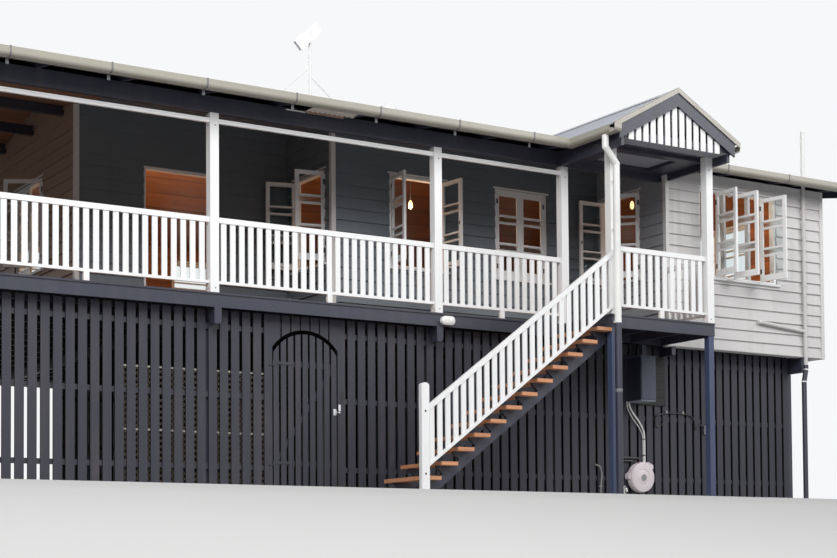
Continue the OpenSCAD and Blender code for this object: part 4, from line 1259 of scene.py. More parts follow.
    def eave_patch(self) -> None:
        """Set the pale sheet that shows between two rafters of the eave, with its battens."""
        self.lay("pale_eave_sheet", SOFFIT_PALE, (1.385, 2.109), (-0.400, 5.170), (-0.090, 5.174))
        self.shop.block("eave_sheet_batten", GREY_WARM, (1.385, -0.088, 5.140), (1.973, -0.056, 5.176))
        self.shop.block("pale_eave_batten", WHITE, (1.100, -0.050, 5.150), (1.860, -0.028, 5.162))

    def screws(self) -> None:
        """Set roofing screws in rows over the battens of the front slope."""
        p = PLAN
        y = self.batten - self.batten_start
        apart = 3 * self.pitch
        start = math.ceil((p.x_left - p.verge) / self.pitch) * self.pitch
        seed = self.shop.shape().lathe((start, y, p.sheet_top(y)), (0, -p.slope, 1.0),
                                       [(0.009, -0.002), (0.009, 0.002), (0.005, 0.003), (0.005, 0.008)], 8)
        count = int((p.x_right - p.x_left + p.verge) / apart)
        self.shop.rows(seed, "roofing_screws", ROOF, (count, 5),
                       ((apart, 0, 0), (0, self.batten, self.batten * p.slope)))

    def build(self) -> None:
        """Roof the house."""
        p = PLAN
        ends = (p.x_left - p.verge, p.x_right + p.verge)
        for side, y0, y1 in (("front", -p.eave, p.ridge_y), ("back", p.ridge_y, 2 * p.ridge_y + p.eave)):
            self.lay(side + "_roof_sheets", ROOF, ends, (y0, p.sheet_top(y0)), (y1, p.sheet_top(y1)),
                     ("main_roof_" + side,))
        self.porch_slopes()
        self.battens()
        self.capping()
        self.soffit()
        self.eave_patch()
        self.screws()


@dataclass
class Rooms:
    """Timber linings, ceilings and hanging lamps of the rooms that show through the windows."""

    shop: Workshop
    thick: float = 0.010
    lamps: tuple[Point, ...] = ((4.720, 2.600, 4.776), (8.200, 1.320, 4.912))
    globe: tuple[Flat, ...] = ((0.012, 0.0), (0.030, 0.02), (0.036, 0.06), (0.030, 0.10), (0.012, 0.135))
    glow_color: Color = (1.0, 0.66, 0.40)
    glow_size: float = 0.15
    gap: float = 0.012
    glows: tuple[tuple[Point, float], ...] = (((4.653, 2.600, 4.60), 110.0), ((9.700, 0.900, 4.60), 42.0),
                                              ((1.600, 5.000, 4.60), 150.0))

    def ceilings(self) -> None:
        """Board the rooms under the rafters."""
        p = PLAN
        w = p.wall + 0.002
        shape = self.shop.shape()
        for x, y0, y1 in ((p.x_room, p.y_room + w, p.y_mid + w),
                          (p.x_mid, p.y_mid + w + 0.001, p.y_inner + w),
                          (p.x_deck, p.y_inner + w + 0.001, p.ridge_y), (p.x_deck, p.ridge_y, p.y_back - w)):
            shape.prism(p.slab(y0, y1, self.thick), "x", x + w, p.x_right - w)
        self.shop.piece(shape, "room_ceilings", LINING)

    def walls(self) -> None:
        """Line the inner faces of the outer walls round their windows."""
        p = PLAN
        w, gap = p.wall + 0.001, self.gap
        back, right = p.y_back - w, p.x_right - w
        side, front = back - p.y_room, right - p.x_room
        end = side - p.wall
        shape = self.shop.shape()
        for face in (
                WallFace("back", (p.x_deck + w, back), (1, 0), right - p.x_deck - w, p.floor,
                         p.under_rafter(back) - gap, p.lights(*((a, a + b) for a, b in p.back_windows))),
                WallFace("right", (right, back), (0, -1), side - w, p.floor, p.under_rafter(p.ridge_y) - gap,
                         p.lights(*((end - a - b, end - a) for a, b in p.right_windows))),
                WallFace("front", (right, p.y_room + w), (-1, 0), front - w, p.floor,
                         p.under_rafter(p.y_room + w) - gap,
                         p.lights((front - p.front_window[1], front - p.front_window[0])))):
            for span in face.spans(face.low, face.high):
                face.board(shape, span, self.thick, self.thick)
        self.shop.piece(shape.cut_to_roof(gap), "room_linings", LINING)

    def hang(self) -> None:
        """Hang the lamps and light the rooms."""
        globes, rods = self.shop.shape(), self.shop.shape()
        for x, y, z in self.lamps:
            globes.lathe((x, y, z - 0.07), UP, self.globe)
            rods.tube([(x, y, z + 0.064), (x, y, PLAN.under_rafter(y) - 0.011)], 0.008, 8)
        self.shop.piece(globes, "room_lamp_globes", LAMP, smooth=True)
        self.shop.piece(rods, "room_lamp_rods", IRON)
        for k, (place, power) in enumerate(self.glows):
            data = bpy.data.lights.new(f"room_lamp_{k + 1}", "POINT")
            data.energy = power
            data.color = self.glow_color
            data.shadow_soft_size = self.glow_size
            lamp = bpy.data.objects.new(data.name, data)
            lamp.location = self.shop.site.at(*place)
            lamp.visible_camera = False
            lamp.visible_glossy = False
            lamp.visible_transmission = False
            bpy.context.scene.collection.objects.link(lamp)

    def build(self) -> None:
        """Line and light the rooms."""
        self.ceilings()
        self.walls()
        self.hang()


@dataclass
class GutterDetails:
    """Joint straps, brackets and end caps of the gutters."""

    shop: Workshop
    top: float = 5.238
    low: float = 5.1216
    depth: float = 0.125
    bend: float = 0.05
    back: float = -0.418
    first: float = -2.872
    spacing: float = 1.288
    right: Point = (8.6, 9.9, 11.2)

    def profile(self, grow: float) -> list[Flat]:
        """Outline of the gutter's front and bottom.

        Args:
            grow: How far it stands off the gutter.

        Returns:
            The points from the back of the bottom to the front lip.
        """
        outline = [(self.back, self.low - grow)]
        for turn in range(-90, 1, 15):
            angle = math.radians(turn)
            outline.append((self.back - self.depth + self.bend - (self.bend + grow) * math.cos(angle),
                            self.low + self.bend + (self.bend + grow) * math.sin(angle)))
        return [*outline, (self.back - self.depth - grow, self.top + 0.004)]

    def strap(self, shape: Shape, x: float) -> None:
        """Wrap one strap round the gutter.

        Args:
            shape: The straps.
            x: Left edge of the strap.
        """
        shape.prism(self.profile(0.004) + self.profile(0.0005)[::-1], "x", x, x + 0.022)
        front = self.back - self.depth - 0.006
        shape.box((x + 0.004, front, self.top), (x + 0.018, -0.40, self.top + 0.004))

    def build(self) -> None:
        """Strap the gutters at each joint and close their ends."""
        p = PLAN
        seed, right, caps = self.shop.shape(), self.shop.shape(), self.shop.shape()
        self.strap(seed, self.first)
        seed.box((self.first - 0.01, self.back + 0.004, self.low - 0.07),
                 (self.first + 0.03, self.back + 0.010, self.low))
        count = int((p.x_p3 - self.first - 0.4) / self.spacing) + 1
        self.shop.rows(seed, "gutter_straps", STRAP, (count, 1), ((self.spacing, 0, 0), (0, 0, 0)))
        for x in self.right:
            self.strap(right, x)
        self.shop.piece(right, "gutter_straps_right", STRAP)
        for x in (p.x_left - p.verge - 0.004, p.x_right + p.verge):
            caps.prism(self.profile(0.003) + [(self.back, self.top - 0.04)], "x", x, x + 0.004)
        self.shop.piece(caps, "gutter_end_caps", CREAM)


@dataclass(frozen=True)
class Sash:
    """A window sash: where its hinged edge stands and how it is turned."""

    hinge: Point
    width: float
    height: float
    turn: float
    flip: int = 1
    open: bool = True

    def at(self, s: float, out: float, z: float) -> Point:
        """Place a point of the sash in the plan.

        Args:
            s: Distance from the hinged edge.
            out: Distance out of the outer face.
            z: Height above the bottom edge.

        Returns:
            The point.
        """
        angle = math.radians(self.turn)
        dx, dy = math.cos(angle), math.sin(angle)
        s = s * self.flip
        x, y, base = self.hinge
        return (x + dx * s + dy * out, y + dy * s - dx * out, base + z)

    def block(self, shape: Shape, low: Point, high: Point) -> None:
        """Add a block in the sash's own measures.

        Args:
            shape: What the block is added to.
            low: Its first corner.
            high: Its opposite corner.
        """
        (s0, o0, z0), (s1, o1, z1) = low, high
        outline = ((s0, o0), (s1, o0), (s1, o1), (s0, o1))
        shape.loft([[self.at(s, o, z) for s, o in outline] for z in (z0, z1)])


@dataclass
class WindowDetails:
    """Obscure narrow lights, putty, hinges, catches and stays of the casements."""

    shop: Workshop
    thick: float = 0.038
    stile: float = 0.056
    bar: float = 0.026
    narrow: float = 0.086
    low_rail: float = 0.092
    frame: float = 0.04
    putty: float = 0.007
    stayed: tuple[Flat, ...] = ((0.287, 93), (0.663, 84), (1.229, 78))

    def sashes(self) -> list[Sash]:
        """List the sashes of the windows that show.

        Returns:
            The front room's three stayed sashes and the hung pairs of the other windows.
        """
        p = PLAN
        made = [Sash((p.x_room + p.front_window[0] + x, p.y_room - 0.07, p.sill + 0.015), 0.49, 1.328, -turn)
                for x, turn in self.stayed]
        # Each pair: corner of the opening, the way it runs, its width and how far each sash stands open.
        for place, facing, width, left, right in (
                ((p.x_room, 1.54), -90, 1.02, 92, 45), ((p.x_mid + 0.975, p.y_mid), 0, 1.02, 97, 97),
                ((p.x_mid + 2.915, p.y_mid), 0, 1.02, 0, 0), ((p.x_mid, 2.84), -90, 1.02, 105, 80),
                ((p.x_deck, 5.68), -90, 1.28, 0, 60)):
            angle = math.radians(facing)
            along = Vector((math.cos(angle), math.sin(angle)))
            inward = Vector((-along.y, along.x))
            for s, turn, flip in ((self.frame, -left, 1), (width - self.frame, right, -1)):
                spot = Vector(place) + along * s + inward * 0.01
                made.append(Sash((spot.x, spot.y, p.sill + self.frame), width / 2 - self.frame - 0.003, 1.34,
                                 facing + turn, flip, turn != 0))
        return made

    def light_levels(self, height: float) -> list[Flat]:
        """Find the lights of a sash.

        Args:
            height: Height of the sash.

        Returns:
            Bottom and top of the five lights.
        """
        tall = (height - self.stile - self.low_rail - 4 * self.bar - 2 * self.narrow) / 3
        levels = []
        z = self.low_rail
        for k in range(5):
            step = self.narrow if k % 2 else tall
            levels.append((z, z + step))
            z += step + self.bar
        return levels

    def build(self) -> None:
        """Fit out every sash that shows."""
        obscure, hardware, putty = self.shop.shape(), self.shop.shape(), self.shop.shape()
        left, face, t = self.stile, -self.thick, self.putty
        for sash in self.sashes():
            width, right = sash.width, sash.width - self.stile
            for k, (z0, z1) in enumerate(self.light_levels(sash.height)):
                if k % 2:
                    sash.block(obscure, (left - 0.004, -0.030, z0 - 0.004),
                               (right + 0.004, -0.024, z1 + 0.004))
                for a, b, c, d in ((left, z0, left + t, z1), (right - t, z0, right, z1),
                                   (left, z0, right, z0 + t), (left, z1 - t, right, z1)):
                    sash.block(putty, (a, -0.016, b), (c, -0.009, d))
            for z in (0.12, sash.height - 0.19):
                sash.block(hardware, (0.004, -0.001, z), (0.034, 0.003, z + 0.075))
            z = sash.height * 0.47
            sash.block(hardware, (width - 0.036, face - 0.004, z), (width - 0.020, face + 0.001, z + 0.06))
            sash.block(hardware, (width - 0.033, face - 0.022, z + 0.022),
                       (width - 0.023, face - 0.003, z + 0.034))
            if sash.open:
                sash.block(hardware, (width * 0.25, face - 0.006, 0.030),
                           (width * 0.72, face + 0.001, 0.042))
        self.shop.piece(obscure, "narrow_obscure_lights", OBSCURE)
        self.shop.piece(putty, "glazing_putty", WHITE)
        self.shop.piece(hardware, "casement_hinges_and_catches", IRON)


@dataclass
class PorchAndPosts:
    """Bolts of the posts, fixings of the treads and brackets of the bearer ends."""

    shop: Workshop
    small_bolt: float = 0.007
    nose: float = 0.26
    grip: float = 0.0025
    brackets: Flat = (0.056, 3.520)
    bracket: tuple[Flat, ...] = ((0.0, 2.405), (0.104, 2.405), (0.104, 2.25), (0.096, 2.215), (0.075, 2.195),
                                 (0.04, 2.19), (0.0, 2.19))

    def post_bolts(self) -> None:
        """Bolt the posts to the beams and rails."""
        p = PLAN
        shape = self.shop.shape()
        for x in (p.x_left, 0.0, p.x_p2, p.x_p3):
            for z in (4.81, 2.66):
                shape.bolt((x + 0.075, 0.0, z), FRONT, self.small_bolt)
                shape.bolt((x, 0.062, z), LEFT, self.small_bolt)
        for x in (p.x_p3, p.x_room - p.post):
            for z in (4.90, 2.66):
                shape.bolt((x + 0.060, p.y_porch, z), FRONT, self.small_bolt)
        for y in (-0.9, -0.4):
            shape.bolt((p.x_p3 - 0.05, y, 5.08), LEFT)
        self.shop.piece(shape, "post_bolts", STRAP)

    def stair_fixings(self) -> None:
        """Bolt the treads to the stringer brackets and set grip strips on them."""
        p = PLAN
        bolts, grip = self.shop.shape(), self.shop.shape()
        top = p.floor - p.riser
        for offset in (-0.06, 0.05):
            bolts.bolt((p.x_p3 - 0.15 + offset, p.y_porch + 0.15, top - 0.065 - 0.02), FRONT, 0.008)
        for k in range(2):
            x = p.x_p3 - self.nose + k * 0.022
            grip.prism([(x + 0.012, top), (x + 0.022, top), (x + 0.020, top + self.grip),
                        (x + 0.014, top + self.grip)], "y", p.y_porch + 0.03, p.y_porch + 1.02)
        for shape, name in ((bolts, "stair_bracket_bolts"), (grip, "tread_grip_strips")):
            self.shop.rows(shape, name, IRON, (p.risers - 1, 1), ((-p.going, 0, -p.riser), (0, 0, 0)))

    def build(self) -> None:
        """Fit the posts and the stair out."""
        p = PLAN
        self.post_bolts()
        self.stair_fixings()
        brackets, newel = self.shop.shape(), self.shop.shape()
        for x in self.brackets:
            brackets.prism([(x + u, z) for u, z in self.bracket], "y", -0.002, 0.150)
        self.shop.piece(brackets, "bearer_end_brackets", NAVY)
        x = p.x_p3 - self.nose - (p.risers - 2) * p.going - 0.09
        for z in (0.22, 1.05):
            newel.bolt((x + 0.06, p.y_porch - 0.07, z), FRONT, 0.010)
        self.shop.piece(newel, "newel_bolts", IRON)


@dataclass
class Decking:
    """Deck boards laid over the floor frame."""

    shop: Workshop
    cover: float = 0.094
    board: float = 0.090
    ease: float = 0.003
    nose: float = 0.012
    edge: float = 0.004
    stray: float = 0.0006

    def seed(self, x: float, y0: float, y1: float) -> Shape:
        """Make one board with eased edges.

        Args:
            x: Its left edge.
            y0: Its front end.
            y1: Its back end.

        Returns:
            The board.
        """
        end, ease, low, high = x + self.board, self.ease, PLAN.deck_low + 0.001, PLAN.floor - 0.0005
        return self.shop.shape().prism([(x, low), (end, low), (end, high - ease), (end - ease, high),
                                        (x + ease, high), (x, high - ease)], "y", y0, y1)

    def build(self) -> None:
        """Lay the front, middle, side and porch boards and their painted edge."""
        p, nose, t = PLAN, self.nose, self.edge
        left, porch = p.x_left - nose, p.x_p3 - nose
        for name, x0, x1, y0, y1, instead in (
                ("front", left, p.x_room - 0.004, -nose, p.y_mid - 0.003, ("veranda_deck",)),
                ("middle", left, p.x_mid - 0.004, p.y_mid - 0.001, p.y_inner - 0.003, ()),
                ("side", left, p.x_deck - 0.004, p.y_inner - 0.001, p.y_back + nose, ()),
                ("porch", porch, p.x_room - 0.004, p.y_porch - nose, -nose - 0.002, ())):
            count = int((x1 - x0) / self.cover)
            self.shop.rows(self.seed(x0, y0, y1), name + "_deck_boards", DECK, (count, 1),
                           (((x1 - x0 - self.board) / (count - 1), 0, 0), (0, 0, 0)), self.stray, instead)
        edge = self.shop.shape()
        for x0, x1, y0, y1 in ((left - t, porch - t, -nose - t, -nose),
                               (porch - t, p.x_room, p.y_porch - nose - t, p.y_porch - nose),
                               (porch - t, porch, p.y_porch - nose, -nose),
                               (left - t, left, -nose, p.y_back + nose)):
            edge.box((x0, y0, p.deck_low + 0.0005), (x1, y1, p.floor - 0.001))
        self.shop.piece(edge, "painted_deck_edge", NAVY)


@dataclass
class ScreenDetails:
    """Nails of the battens, the hardware of the gate, its arched head and the lattice."""

    shop: Workshop
    ends: Flat = (-3.37, 10.5375)
    batten: float = 0.118
    batten_gap: float = 0.042
    gate_x: float = 1.022
    gate_w: float = 0.970
    gate_play: float = 0.020
    gate_rails: Flat = (0.370, 1.720)
    gate_bolts: tuple[float, ...] = (0.06, 0.14, 0.22, 0.27)
    arch_gap: float = 0.055
    spring: float = 1.900
    rise: float = 0.270
    head: float = 2.4067
    head_battens: int = 7
    head_gap: float = 0.022
    net: float = 0.075
    wire: float = 0.010
    net_levels: Flat = (0.004, 1.590)

    @property
    def gate_end(self) -> float:
        """Right edge of the gate."""
        return self.gate_x + self.gate_w

    def nails(self) -> None:
        """Nail each batten to the rails."""
        for name, x0, x1 in (("left", self.ends[0], self.gate_x - self.gate_play),
                             ("right", self.gate_end + self.gate_play, self.ends[1])):
            count = int((x1 - x0 + self.batten_gap) / (self.batten + self.batten_gap))
            step = self.batten + (x1 - x0 - count * self.batten) / (count - 1)
            seed = self.shop.shape()
            for dx in (0.03, 0.088):
                seed.lathe((x0 + dx, PLAN.screen + 0.0006, 0.335), FRONT,
                           [(0.005, 0), (0.005, 0.0014), (0.003, 0.0024)], 8)
            self.shop.rows(seed, name + "_screen_nails", IRON, (count, 3), ((step, 0, 0), (0, 0, 0.925)))

    def gate(self) -> None:
        """Fit the gate with its strap bolts, latch, keeper and a black half disc of painted shade for the
        hand hole.
        """
        y, x1 = PLAN.screen, self.gate_end
        bolts, latch, keeper = self.shop.shape(), self.shop.shape(), self.shop.shape()
        for rail in self.gate_rails:
            for x in self.gate_bolts:
                bolts.bolt((self.gate_x + x, y - 0.005, rail + 0.035), FRONT, 0.007)
        self.shop.piece(bolts, "gate_hinge_bolts", IRON, GATE)
        latch.box((x1 - 0.050, y - 0.006, 1.085), (x1 - 0.008, y + 0.0005, 1.170))
        ring = ((0.004, 1.150), (0.032, 1.150), (0.032, 1.105), (0.004, 1.105))
        latch.tube([(x1 - 0.030, y - out, z) for out, z in ring], 0.006, 8)
        latch.box((x1 - 0.040, y - 0.013, 1.122), (x1 + 0.006, y - 0.005, 1.136))
        self.shop.piece(latch, "gate_latch", GALV, GATE)
        keeper.box((x1 + 0.030, y - 0.005, 1.150), (x1 + 0.062, y + 0.0005, 1.235))
        keeper.box((x1 + 0.026, y - 0.014, 1.118), (x1 + 0.050, y + 0.0005, 1.140))
        self.shop.piece(keeper, "latch_keeper", GALV)
        # The hand hole is not cut: a thin black half disc stands for it, painted shade.
        turns = [math.radians(angle) for angle in range(-90, 91, 12)]
        rim = [(x1 + 0.066 + 0.072 * math.cos(t), 1.346 + 0.080 * math.sin(t)) for t in turns]
        self.shop.piece(self.shop.shape().prism(rim, "y", y - 0.001, y + 0.001), "latch_hand_hole_painted_shade", BLACK)

    def arch_head(self) -> None:
        """Hang the battens over the gate, cut to an arch that leaves a dark band above the leaf."""
        shape = self.shop.shape()
        count, gap, y = self.head_battens, self.head_gap, PLAN.screen
        left, right = self.gate_x - self.gate_play, self.gate_end + self.gate_play
        width = (right - left - (count - 1) * gap) / count
        leaf = (self.gate_w ** 2 / 4 + self.rise ** 2) / (2 * self.rise)
        center, reach = self.spring + self.rise - leaf, leaf + self.arch_gap
        for k in range(count):
            # Nine points along the arch shape the foot of each batten.
            x0 = left + k * (width + gap)
            arc = []
            for x in (x0 + width * n / 8 for n in range(9)):
                across = x - (self.gate_x + self.gate_w / 2)
                rise = max(reach ** 2 - across ** 2, (self.spring - center) ** 2)
                arc.append((x, center + math.sqrt(rise)))
            shape.prism(arc + [(x0 + width, self.head), (x0, self.head)], "y", y, y + 0.020)
        shape.box((left, y + 0.020, 2.232), (right, y + 0.055, 2.302))
        self.shop.piece(shape, "arched_screen_head", FRONT_BATTEN_SIDE_SHADE, instead=("screen_over_gate",))

    def wires(self, shape: Shape, x0: float, x1: float, lean: int, y: float) -> None:
        """Set the slanting laths of a lattice that lean one way.

        Args:
            shape: The lattice.
            x0: Its left end.
            x1: Its right end.
            lean: 1 to lean to the right and -1 to the left.
            y: Front of the laths.
        """
        low, high = self.net_levels
        # Each lath starts where it would meet the foot of the lattice and is cut to the panel.
        for k in range(int((x1 - x0 + high - low) / self.net) + 1):
            start = x0 + k * self.net - (high - low if lean > 0 else 0.0)
            before, after = (x0 - start, x1 - start) if lean > 0 else (start - x1, start - x0)
            z0, z1 = max(low, low + before), min(high, low + after)
            if z1 - z0 >= 0.02:
                a, b = (start + lean * (z - low) for z in (z0, z1))
                shape.prism([(a, z0), (a + self.wire, z0), (b + self.wire, z1), (b, z1)], "y", y, y + 0.004)

    def lattice(self) -> None:
        """Fix the diamond lattice and its pale rails behind the left battens."""
        net, rails = self.shop.shape(), self.shop.shape()
        y = PLAN.screen
        for x0, x1 in ((-1.150, 0.018), (0.170, 0.900)):
            self.wires(net, x0, x1, 1, y + 0.058)
            self.wires(net, x0, x1, -1, y + 0.062)
            for z in (0.775, 1.592):
                rails.box((x0, y + 0.0555, z), (x1, y + 0.0575, z + 0.022))
        self.shop.piece(net, "diamond_lattice", NETTING)
        self.shop.piece(rails, "lattice_rails", PALE_RAIL)

    def build(self) -> None:
        """Fit the screens and the gate out."""
        self.nails()
        self.gate()
        self.arch_head()
        self.lattice()


def bent(points: Sequence[Point], steps: int = 5) -> list[Point]:
    """Round the corners of a line with short curves.

    Args:
        points: Corner points of the line.
        steps: Number of points on each corner.

    Returns:
        The points of the rounded line.
    """
    line = [Vector(points[0])]
    for before, corner, after in zip(points, points[1:], points[2:]):
        middle = Vector(corner)
        sides = [Vector(before) - middle, Vector(after) - middle]
        reach = 0.4 * min(side.length for side in sides)
        start, end = (middle + side.normalized() * reach for side in sides)
        for k in range(steps + 1):
            t = k / steps
            line.append((1 - t) ** 2 * start + 2 * t * (1 - t) * middle + t ** 2 * end)
    line.append(Vector(points[-1]))
    return [tuple(point) for point in line]


@dataclass
class Services:
    """Meter box fittings, conduits, hose reel and taps on the front screen, and the oval light."""

    shop: Workshop
    face: float = PLAN.screen
    box: tuple[float, ...] = (7.100, 7.390, -0.170, 1.520, 2.190)
    backing: tuple[float, ...] = (7.878, 1.492, 0.1262, 0.121)
    backing_boards: int = 6
    case: Flat = (7.312, 0.355)
    case_radius: float = 0.230
    case_depth: float = 0.130
    taps: Flat = (6.880, 7.020)
    lens: Flat = (3.680, 2.490)
    lens_rings: tuple[Flat, ...] = ((0.060, 0.050), (0.064, 0.058), (0.050, 0.070), (0.026, 0.080))

    def meter_box(self) -> None:
        """Fit the meter box with a hood, a door, a lock and its slatted backing board."""
        x0, x1, y, z0, z1 = self.box
        back = self.face - 0.022
        shape, board = self.shop.shape(), self.shop.shape()
        shape.prism([(x0 - 0.010, z1), (x1 + 0.010, z1), (x1 + 0.010, z1 + 0.010), (x0 - 0.010, z1 + 0.018)],
                    "y", y - 0.015, back)
        shape.box((x0 + 0.012, y - 0.006, z0 + 0.020), (x1 - 0.012, y + 0.0005, z1 - 0.020))
        for z in (z0 + 0.08, z1 - 0.14):
            shape.tube([(x0 + 0.010, y - 0.010, z), (x0 + 0.010, y - 0.010, z + 0.06)], 0.006, 8)
        lock = [(0.012, 0), (0.012, 0.005), (0.007, 0.008)]
        shape.lathe((x1 - 0.040, y - 0.005, (z0 + z1) / 2), FRONT, lock, 16)
        shape.box((x1 - 0.075, y + 0.22, z1 + 0.01), (x1 + 0.004, y + 0.30, 2.404))
        self.shop.piece(shape, "meter_box_door_and_hood", BOX_GREY)
        # A near-black plate on the box's left side stands for painted shade.
        self.shop.block("meter_box_side_panel", BOX_SIDE_SHADE, (x0 - 0.004, y + 0.010, z0 + 0.010),
                        (x0 + 0.0005, back - 0.002, z1 - 0.010))
        self.shop.block("meter_box_drip_edge", SOFFIT, (x0 + 0.004, y + 0.004, z0 - 0.014),
                        (x1 - 0.004, back, z0 + 0.001))
        end, low, step, height = self.backing
        for z in (low + k * step for k in range(self.backing_boards)):
            board.box((x0 + 0.001, self.face - 0.027, z), (end, self.face - 0.0195, z + height))
        self.shop.piece(board, "meter_backing_boards", BACKING)

    def conduits(self) -> None:
        """Run the conduits, the black loop, the short bars and the clips."""
        y = self.face - 0.014
        pale, black, fitting, clips = (self.shop.shape() for _ in range(4))
        pale.tube(bent([(7.130, 0.160, 1.525), (7.140, 0.162, 1.450), (7.210, 0.170, 1.350),
                        (7.360, 0.180, 1.200), (7.442, y, 1.070), (7.448, y, 0.900), (7.448, y, 0.560)]),
                  0.014)
        pale.tube(bent([(7.080, 0.150, 1.525), (7.090, 0.155, 1.420), (7.180, 0.165, 1.290),
                        (7.325, 0.178, 1.150), (7.412, y, 1.030), (7.418, y, 0.900), (7.420, y, 0.560)]),
                  0.007, 8)
        self.shop.piece(pale, "pale_conduit", PLASTIC, smooth=True)
        y -= 0.002
        loop = ((7.675, 1.171), (7.677, 1.330), (7.871, 1.382), (8.230, 1.387), (8.406, 1.359),
                (8.474, 1.290), (8.485, 1.140), (8.592, 1.224), (8.640, 1.205))
        branch = ((7.675, 1.171), (7.740, 1.155), (7.820, 1.215), (7.889, 1.258))
        for line, radius, sides in ((loop, 0.010, 12), (branch, 0.007, 8)):
            black.tube(bent([(x, y, z) for x, z in line]), radius, sides)
        for z, x1 in ((0.655, 7.310), (0.610, 7.200)):
            black.tube([(6.970, y, z), (x1, y, z)], 0.020)
        self.shop.piece(black, "black_pipe_loop", BLACK, smooth=True)
        for x, z in ((7.895, 1.395), (8.230, 1.398)):
            fitting.box((x - 0.016, y - 0.016, z - 0.020), (x + 0.016, self.face + 0.0005, z + 0.026))
        fitting.lathe((8.690, y - 0.006, 1.080), UP,
                      [(0.022, 0), (0.022, 0.075), (0.014, 0.085), (0.014, 0.130)], 16)
        self.shop.piece(fitting, "pipe_fitting", IRON_GREY)
        for z in (0.95, 0.70):
            clips.box((7.402, y - 0.014, z), (7.468, self.face + 0.0005, z + 0.014))
        self.shop.piece(clips, "pipe_clips", IRON)

    def reel(self) -> None:
        """Round the hose reel's case, with its seam, hub and bracket."""
        (x, z), big, depth = self.case, self.case_radius, self.case_depth
        back = self.face - 0.015
        case, hub = self.shop.shape(), self.shop.shape()
        case.lathe((x, back, z), FRONT, [
            (0.155, 0.0), (big - 0.017, 0.006), (big, 0.022), (big, depth * 0.46),
            (big - 0.003, depth * 0.48), (big - 0.003, depth * 0.52), (big, depth * 0.54),
            (big, depth - 0.022), (big - 0.010, depth - 0.006), (big - 0.032, depth),
            (0.125, depth + 0.003), (0.118, depth - 0.002), (0.110, depth + 0.003),
            (0.055, depth + 0.004), (0.052, depth + 0.016), (0.012, depth + 0.018)], 64)
        spout = ((0.02, 0.205), (0.185, 0.135), (0.215, 0.135), (0.215, 0.195), (0.13, 0.235),
                 (-0.06, 0.235))
        handle = ((-0.262, -0.02), (-0.20, -0.05), (-0.20, 0.09), (-0.240, 0.06), (-0.262, 0.045))
        for outline, front, gap in ((spout, 0.11, 0.002), (handle, 0.09, 0.004)):
            case.prism([(x + u, z + v) for u, v in outline], "y", back - front, back - gap)
        case.box((x - 0.05, back - 0.001, z - 0.05), (x + 0.05, self.face - 0.0005, z + 0.05))
        self.shop.piece(case, "hose_reel_case", REEL, smooth=True, instead=("hose_reel",))
        hub.lathe((x, back - depth - 0.014, z), FRONT, [(0.048, 0), (0.046, 0.008), (0.020, 0.010)], 32)
        self.shop.piece(hub, "hose_reel_hub", IRON_GREY, smooth=True)

    def garden(self) -> None:
        """Stand the garden taps and the thin pipe beside the stair."""
        y, wall = self.face - 0.03, self.face + 0.0005
        shape, pipe = self.shop.shape(), self.shop.shape()
        for x in self.taps:
            shape.tube(bent([(x, y, 0.0), (x, y, 0.16), (x, y - 0.05, 0.19), (x, y - 0.07, 0.13)]), 0.016)
            shape.lathe((x, y, 0.165), UP, [(0.020, 0), (0.020, 0.02), (0.007, 0.024), (0.007, 0.045),
                                            (0.030, 0.048), (0.030, 0.056), (0.008, 0.060)], 12)
        shape.box((6.84, y, 0.08), (7.06, wall, 0.11))
        self.shop.piece(shape, "garden_taps", PLASTIC)
        line = ((6.575, 0.0), (6.565, 0.165), (6.595, 0.400), (6.560, 0.510), (6.470, 0.535))
        pipe.tube(bent([(x, y, z) for x, z in line]), 0.011)
        pipe.box((6.555, y, 0.20), (6.600, wall, 0.22))
        self.shop.piece(pipe, "bent_grey_pipe", IRON_GREY, smooth=True)

    def light(self) -> None:
        """Round the lens and rim of the oval light on the edge beam."""
        x, z = self.lens
        rings = []
        for radius, out in self.lens_rings:
            ring = []
            for turn in (2 * math.pi * k / 32 for k in range(32)):
                side = 0.05 if math.cos(turn) >= 0 else -0.05
                ring.append((x + side + radius * math.cos(turn), -out, z + radius * math.sin(turn)))
            rings.append(ring)
        self.shop.piece(self.shop.shape().loft(rings), "oval_light_lens", PLASTIC, smooth=True)

    def build(self) -> None:
        """Fit the services."""
        self.meter_box()
        self.conduits()
        self.reel()
        self.garden()
        self.light()


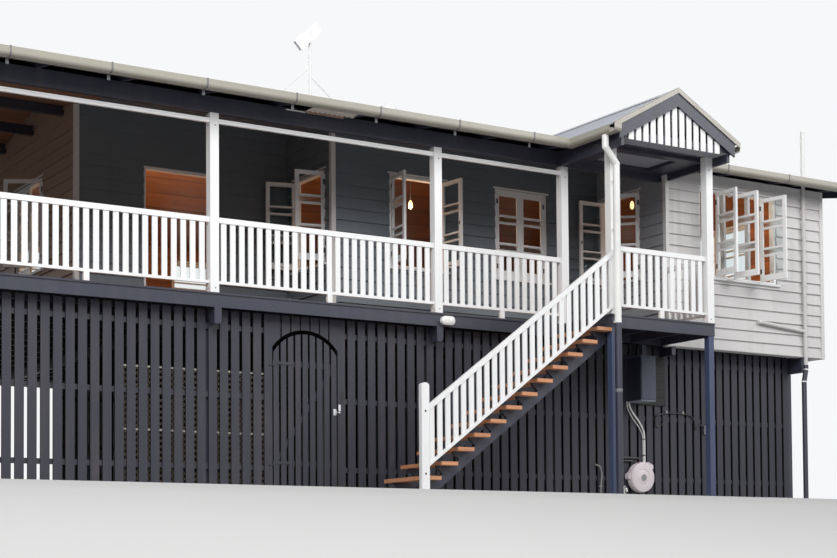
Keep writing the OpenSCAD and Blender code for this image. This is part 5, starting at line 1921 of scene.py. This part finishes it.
@dataclass
class RoofFittings:
    """Flashings, aerial clamps, and the painted sleeves of the stack and the downpipe."""

    shop: Workshop
    stack: Flat = (PLAN.x_right - 0.43, PLAN.y_room - 0.06)
    vent: Flat = (3.2, 0.8)
    mast: Flat = (2.583, 2.0)
    drain: Flat = (5.780, -1.259)

    def flashings(self) -> None:
        """Seal the pipes at the roof and clamp the aerial's mast."""
        shape, bands = self.shop.shape(), self.shop.shape()
        for (x, y), drop, profile, sides in (
                (self.stack, 0.02, [(0.090, 0.0), (0.090, 0.018), (0.060, 0.035), (0.0415, 0.075)], 24),
                (self.vent, 0.03, [(0.16, 0.0), (0.16, 0.035), (0.11, 0.055), (0.0965, 0.10)], 32),
                (self.mast, 0.02, [(0.07, 0.0), (0.07, 0.02), (0.030, 0.05), (0.0215, 0.07)], 16)):
            shape.lathe((x, y, PLAN.sheet_top(y) - drop), UP, profile, sides)
        self.shop.piece(shape, "roof_flashings", STRAP, smooth=True)
        for z in (6.36, 6.49, 6.80):
            bands.lathe((*self.mast, z), UP, [(0.0225, 0), (0.0225, 0.02)], 16)
        self.shop.piece(bands, "aerial_clamps", PLASTIC, smooth=True)

    def sleeves(self) -> None:
        """Sleeve the stack with its waste, grey on the wall and dark below, and the downpipe's foot."""
        grey, dark, pipe, collar = (self.shop.shape() for _ in range(4))
        x, y = self.stack
        grey.tube([(x, y, 2.262), (x, y, 5.200)], 0.0318, 24)
        for z in (2.72, 3.55, 4.35):
            grey.lathe((x, y, z), UP, [(0.0322, 0), (0.0375, 0.004), (0.0375, 0.05), (0.0322, 0.054)])
        grey.tube([(9.595, PLAN.y_room - 0.001, 2.896), (9.595, y, 2.896), (x, y, 2.808)], 0.0288, 16)
        self.shop.piece(grey, "painted_stack_and_waste", GREY, smooth=True)
        foot = (x - 0.03, y + 0.015)
        dark.tube([(*foot, 0.0), (*foot, 1.990), (x, y, 2.190), (x, y, 2.262)], 0.0408, 24)
        self.shop.piece(dark, "painted_stack_foot", NAVY, smooth=True)
        pipe.tube([(*self.drain, 0.0), (*self.drain, 2.455)], 0.0512, 24)
        self.shop.piece(pipe, "painted_downpipe_length", NAVY, smooth=True)
        collar.lathe((*self.drain, 1.46), UP, [(0.0514, 0), (0.054, 0.004), (0.054, 0.045), (0.0514, 0.049)])
        self.shop.piece(collar, "downpipe_collar", STRAP, smooth=True)

    def build(self) -> None:
        """Fit the pieces above the roof and along the pipes."""
        self.flashings()
        self.sleeves()


def dress_nodes(nodes: dict[str, bpy.types.Object], groups: Groups) -> dict[str, bpy.types.Material]:
    """Give each CAD node its finish.

    Args:
        nodes: The CAD nodes by name.
        groups: The shared node groups.

    Returns:
        The materials by finish name.
    """
    made = {}
    for finish, names in FINISH_OF_NODE.items():
        made[finish.name] = finish.make(groups)
        for name in names:
            if name in nodes:
                for slot in nodes[name].material_slots:
                    slot.material = made[finish.name]
    return made


def main() -> None:
    """Build the house around the CAD frame."""
    logging.basicConfig(level=logging.INFO)
    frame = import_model()
    site = Site().settle()
    studio = Studio(site)
    studio.camera()
    studio.floor()
    studio.light()
    groups = Groups()
    shop = Workshop(site, dress_nodes(frame["nodes"], groups), groups)
    for part in (Cladding, Rooms, RoofSheets, GutterDetails, Decking, WindowDetails, PorchAndPosts,
                 ScreenDetails, Services, RoofFittings):
        part(shop).build()
        LOG.info("built %s: %s", part.__name__, ", ".join(shop.names))
        shop.names.clear()


if __name__ == "__main__":
    main()
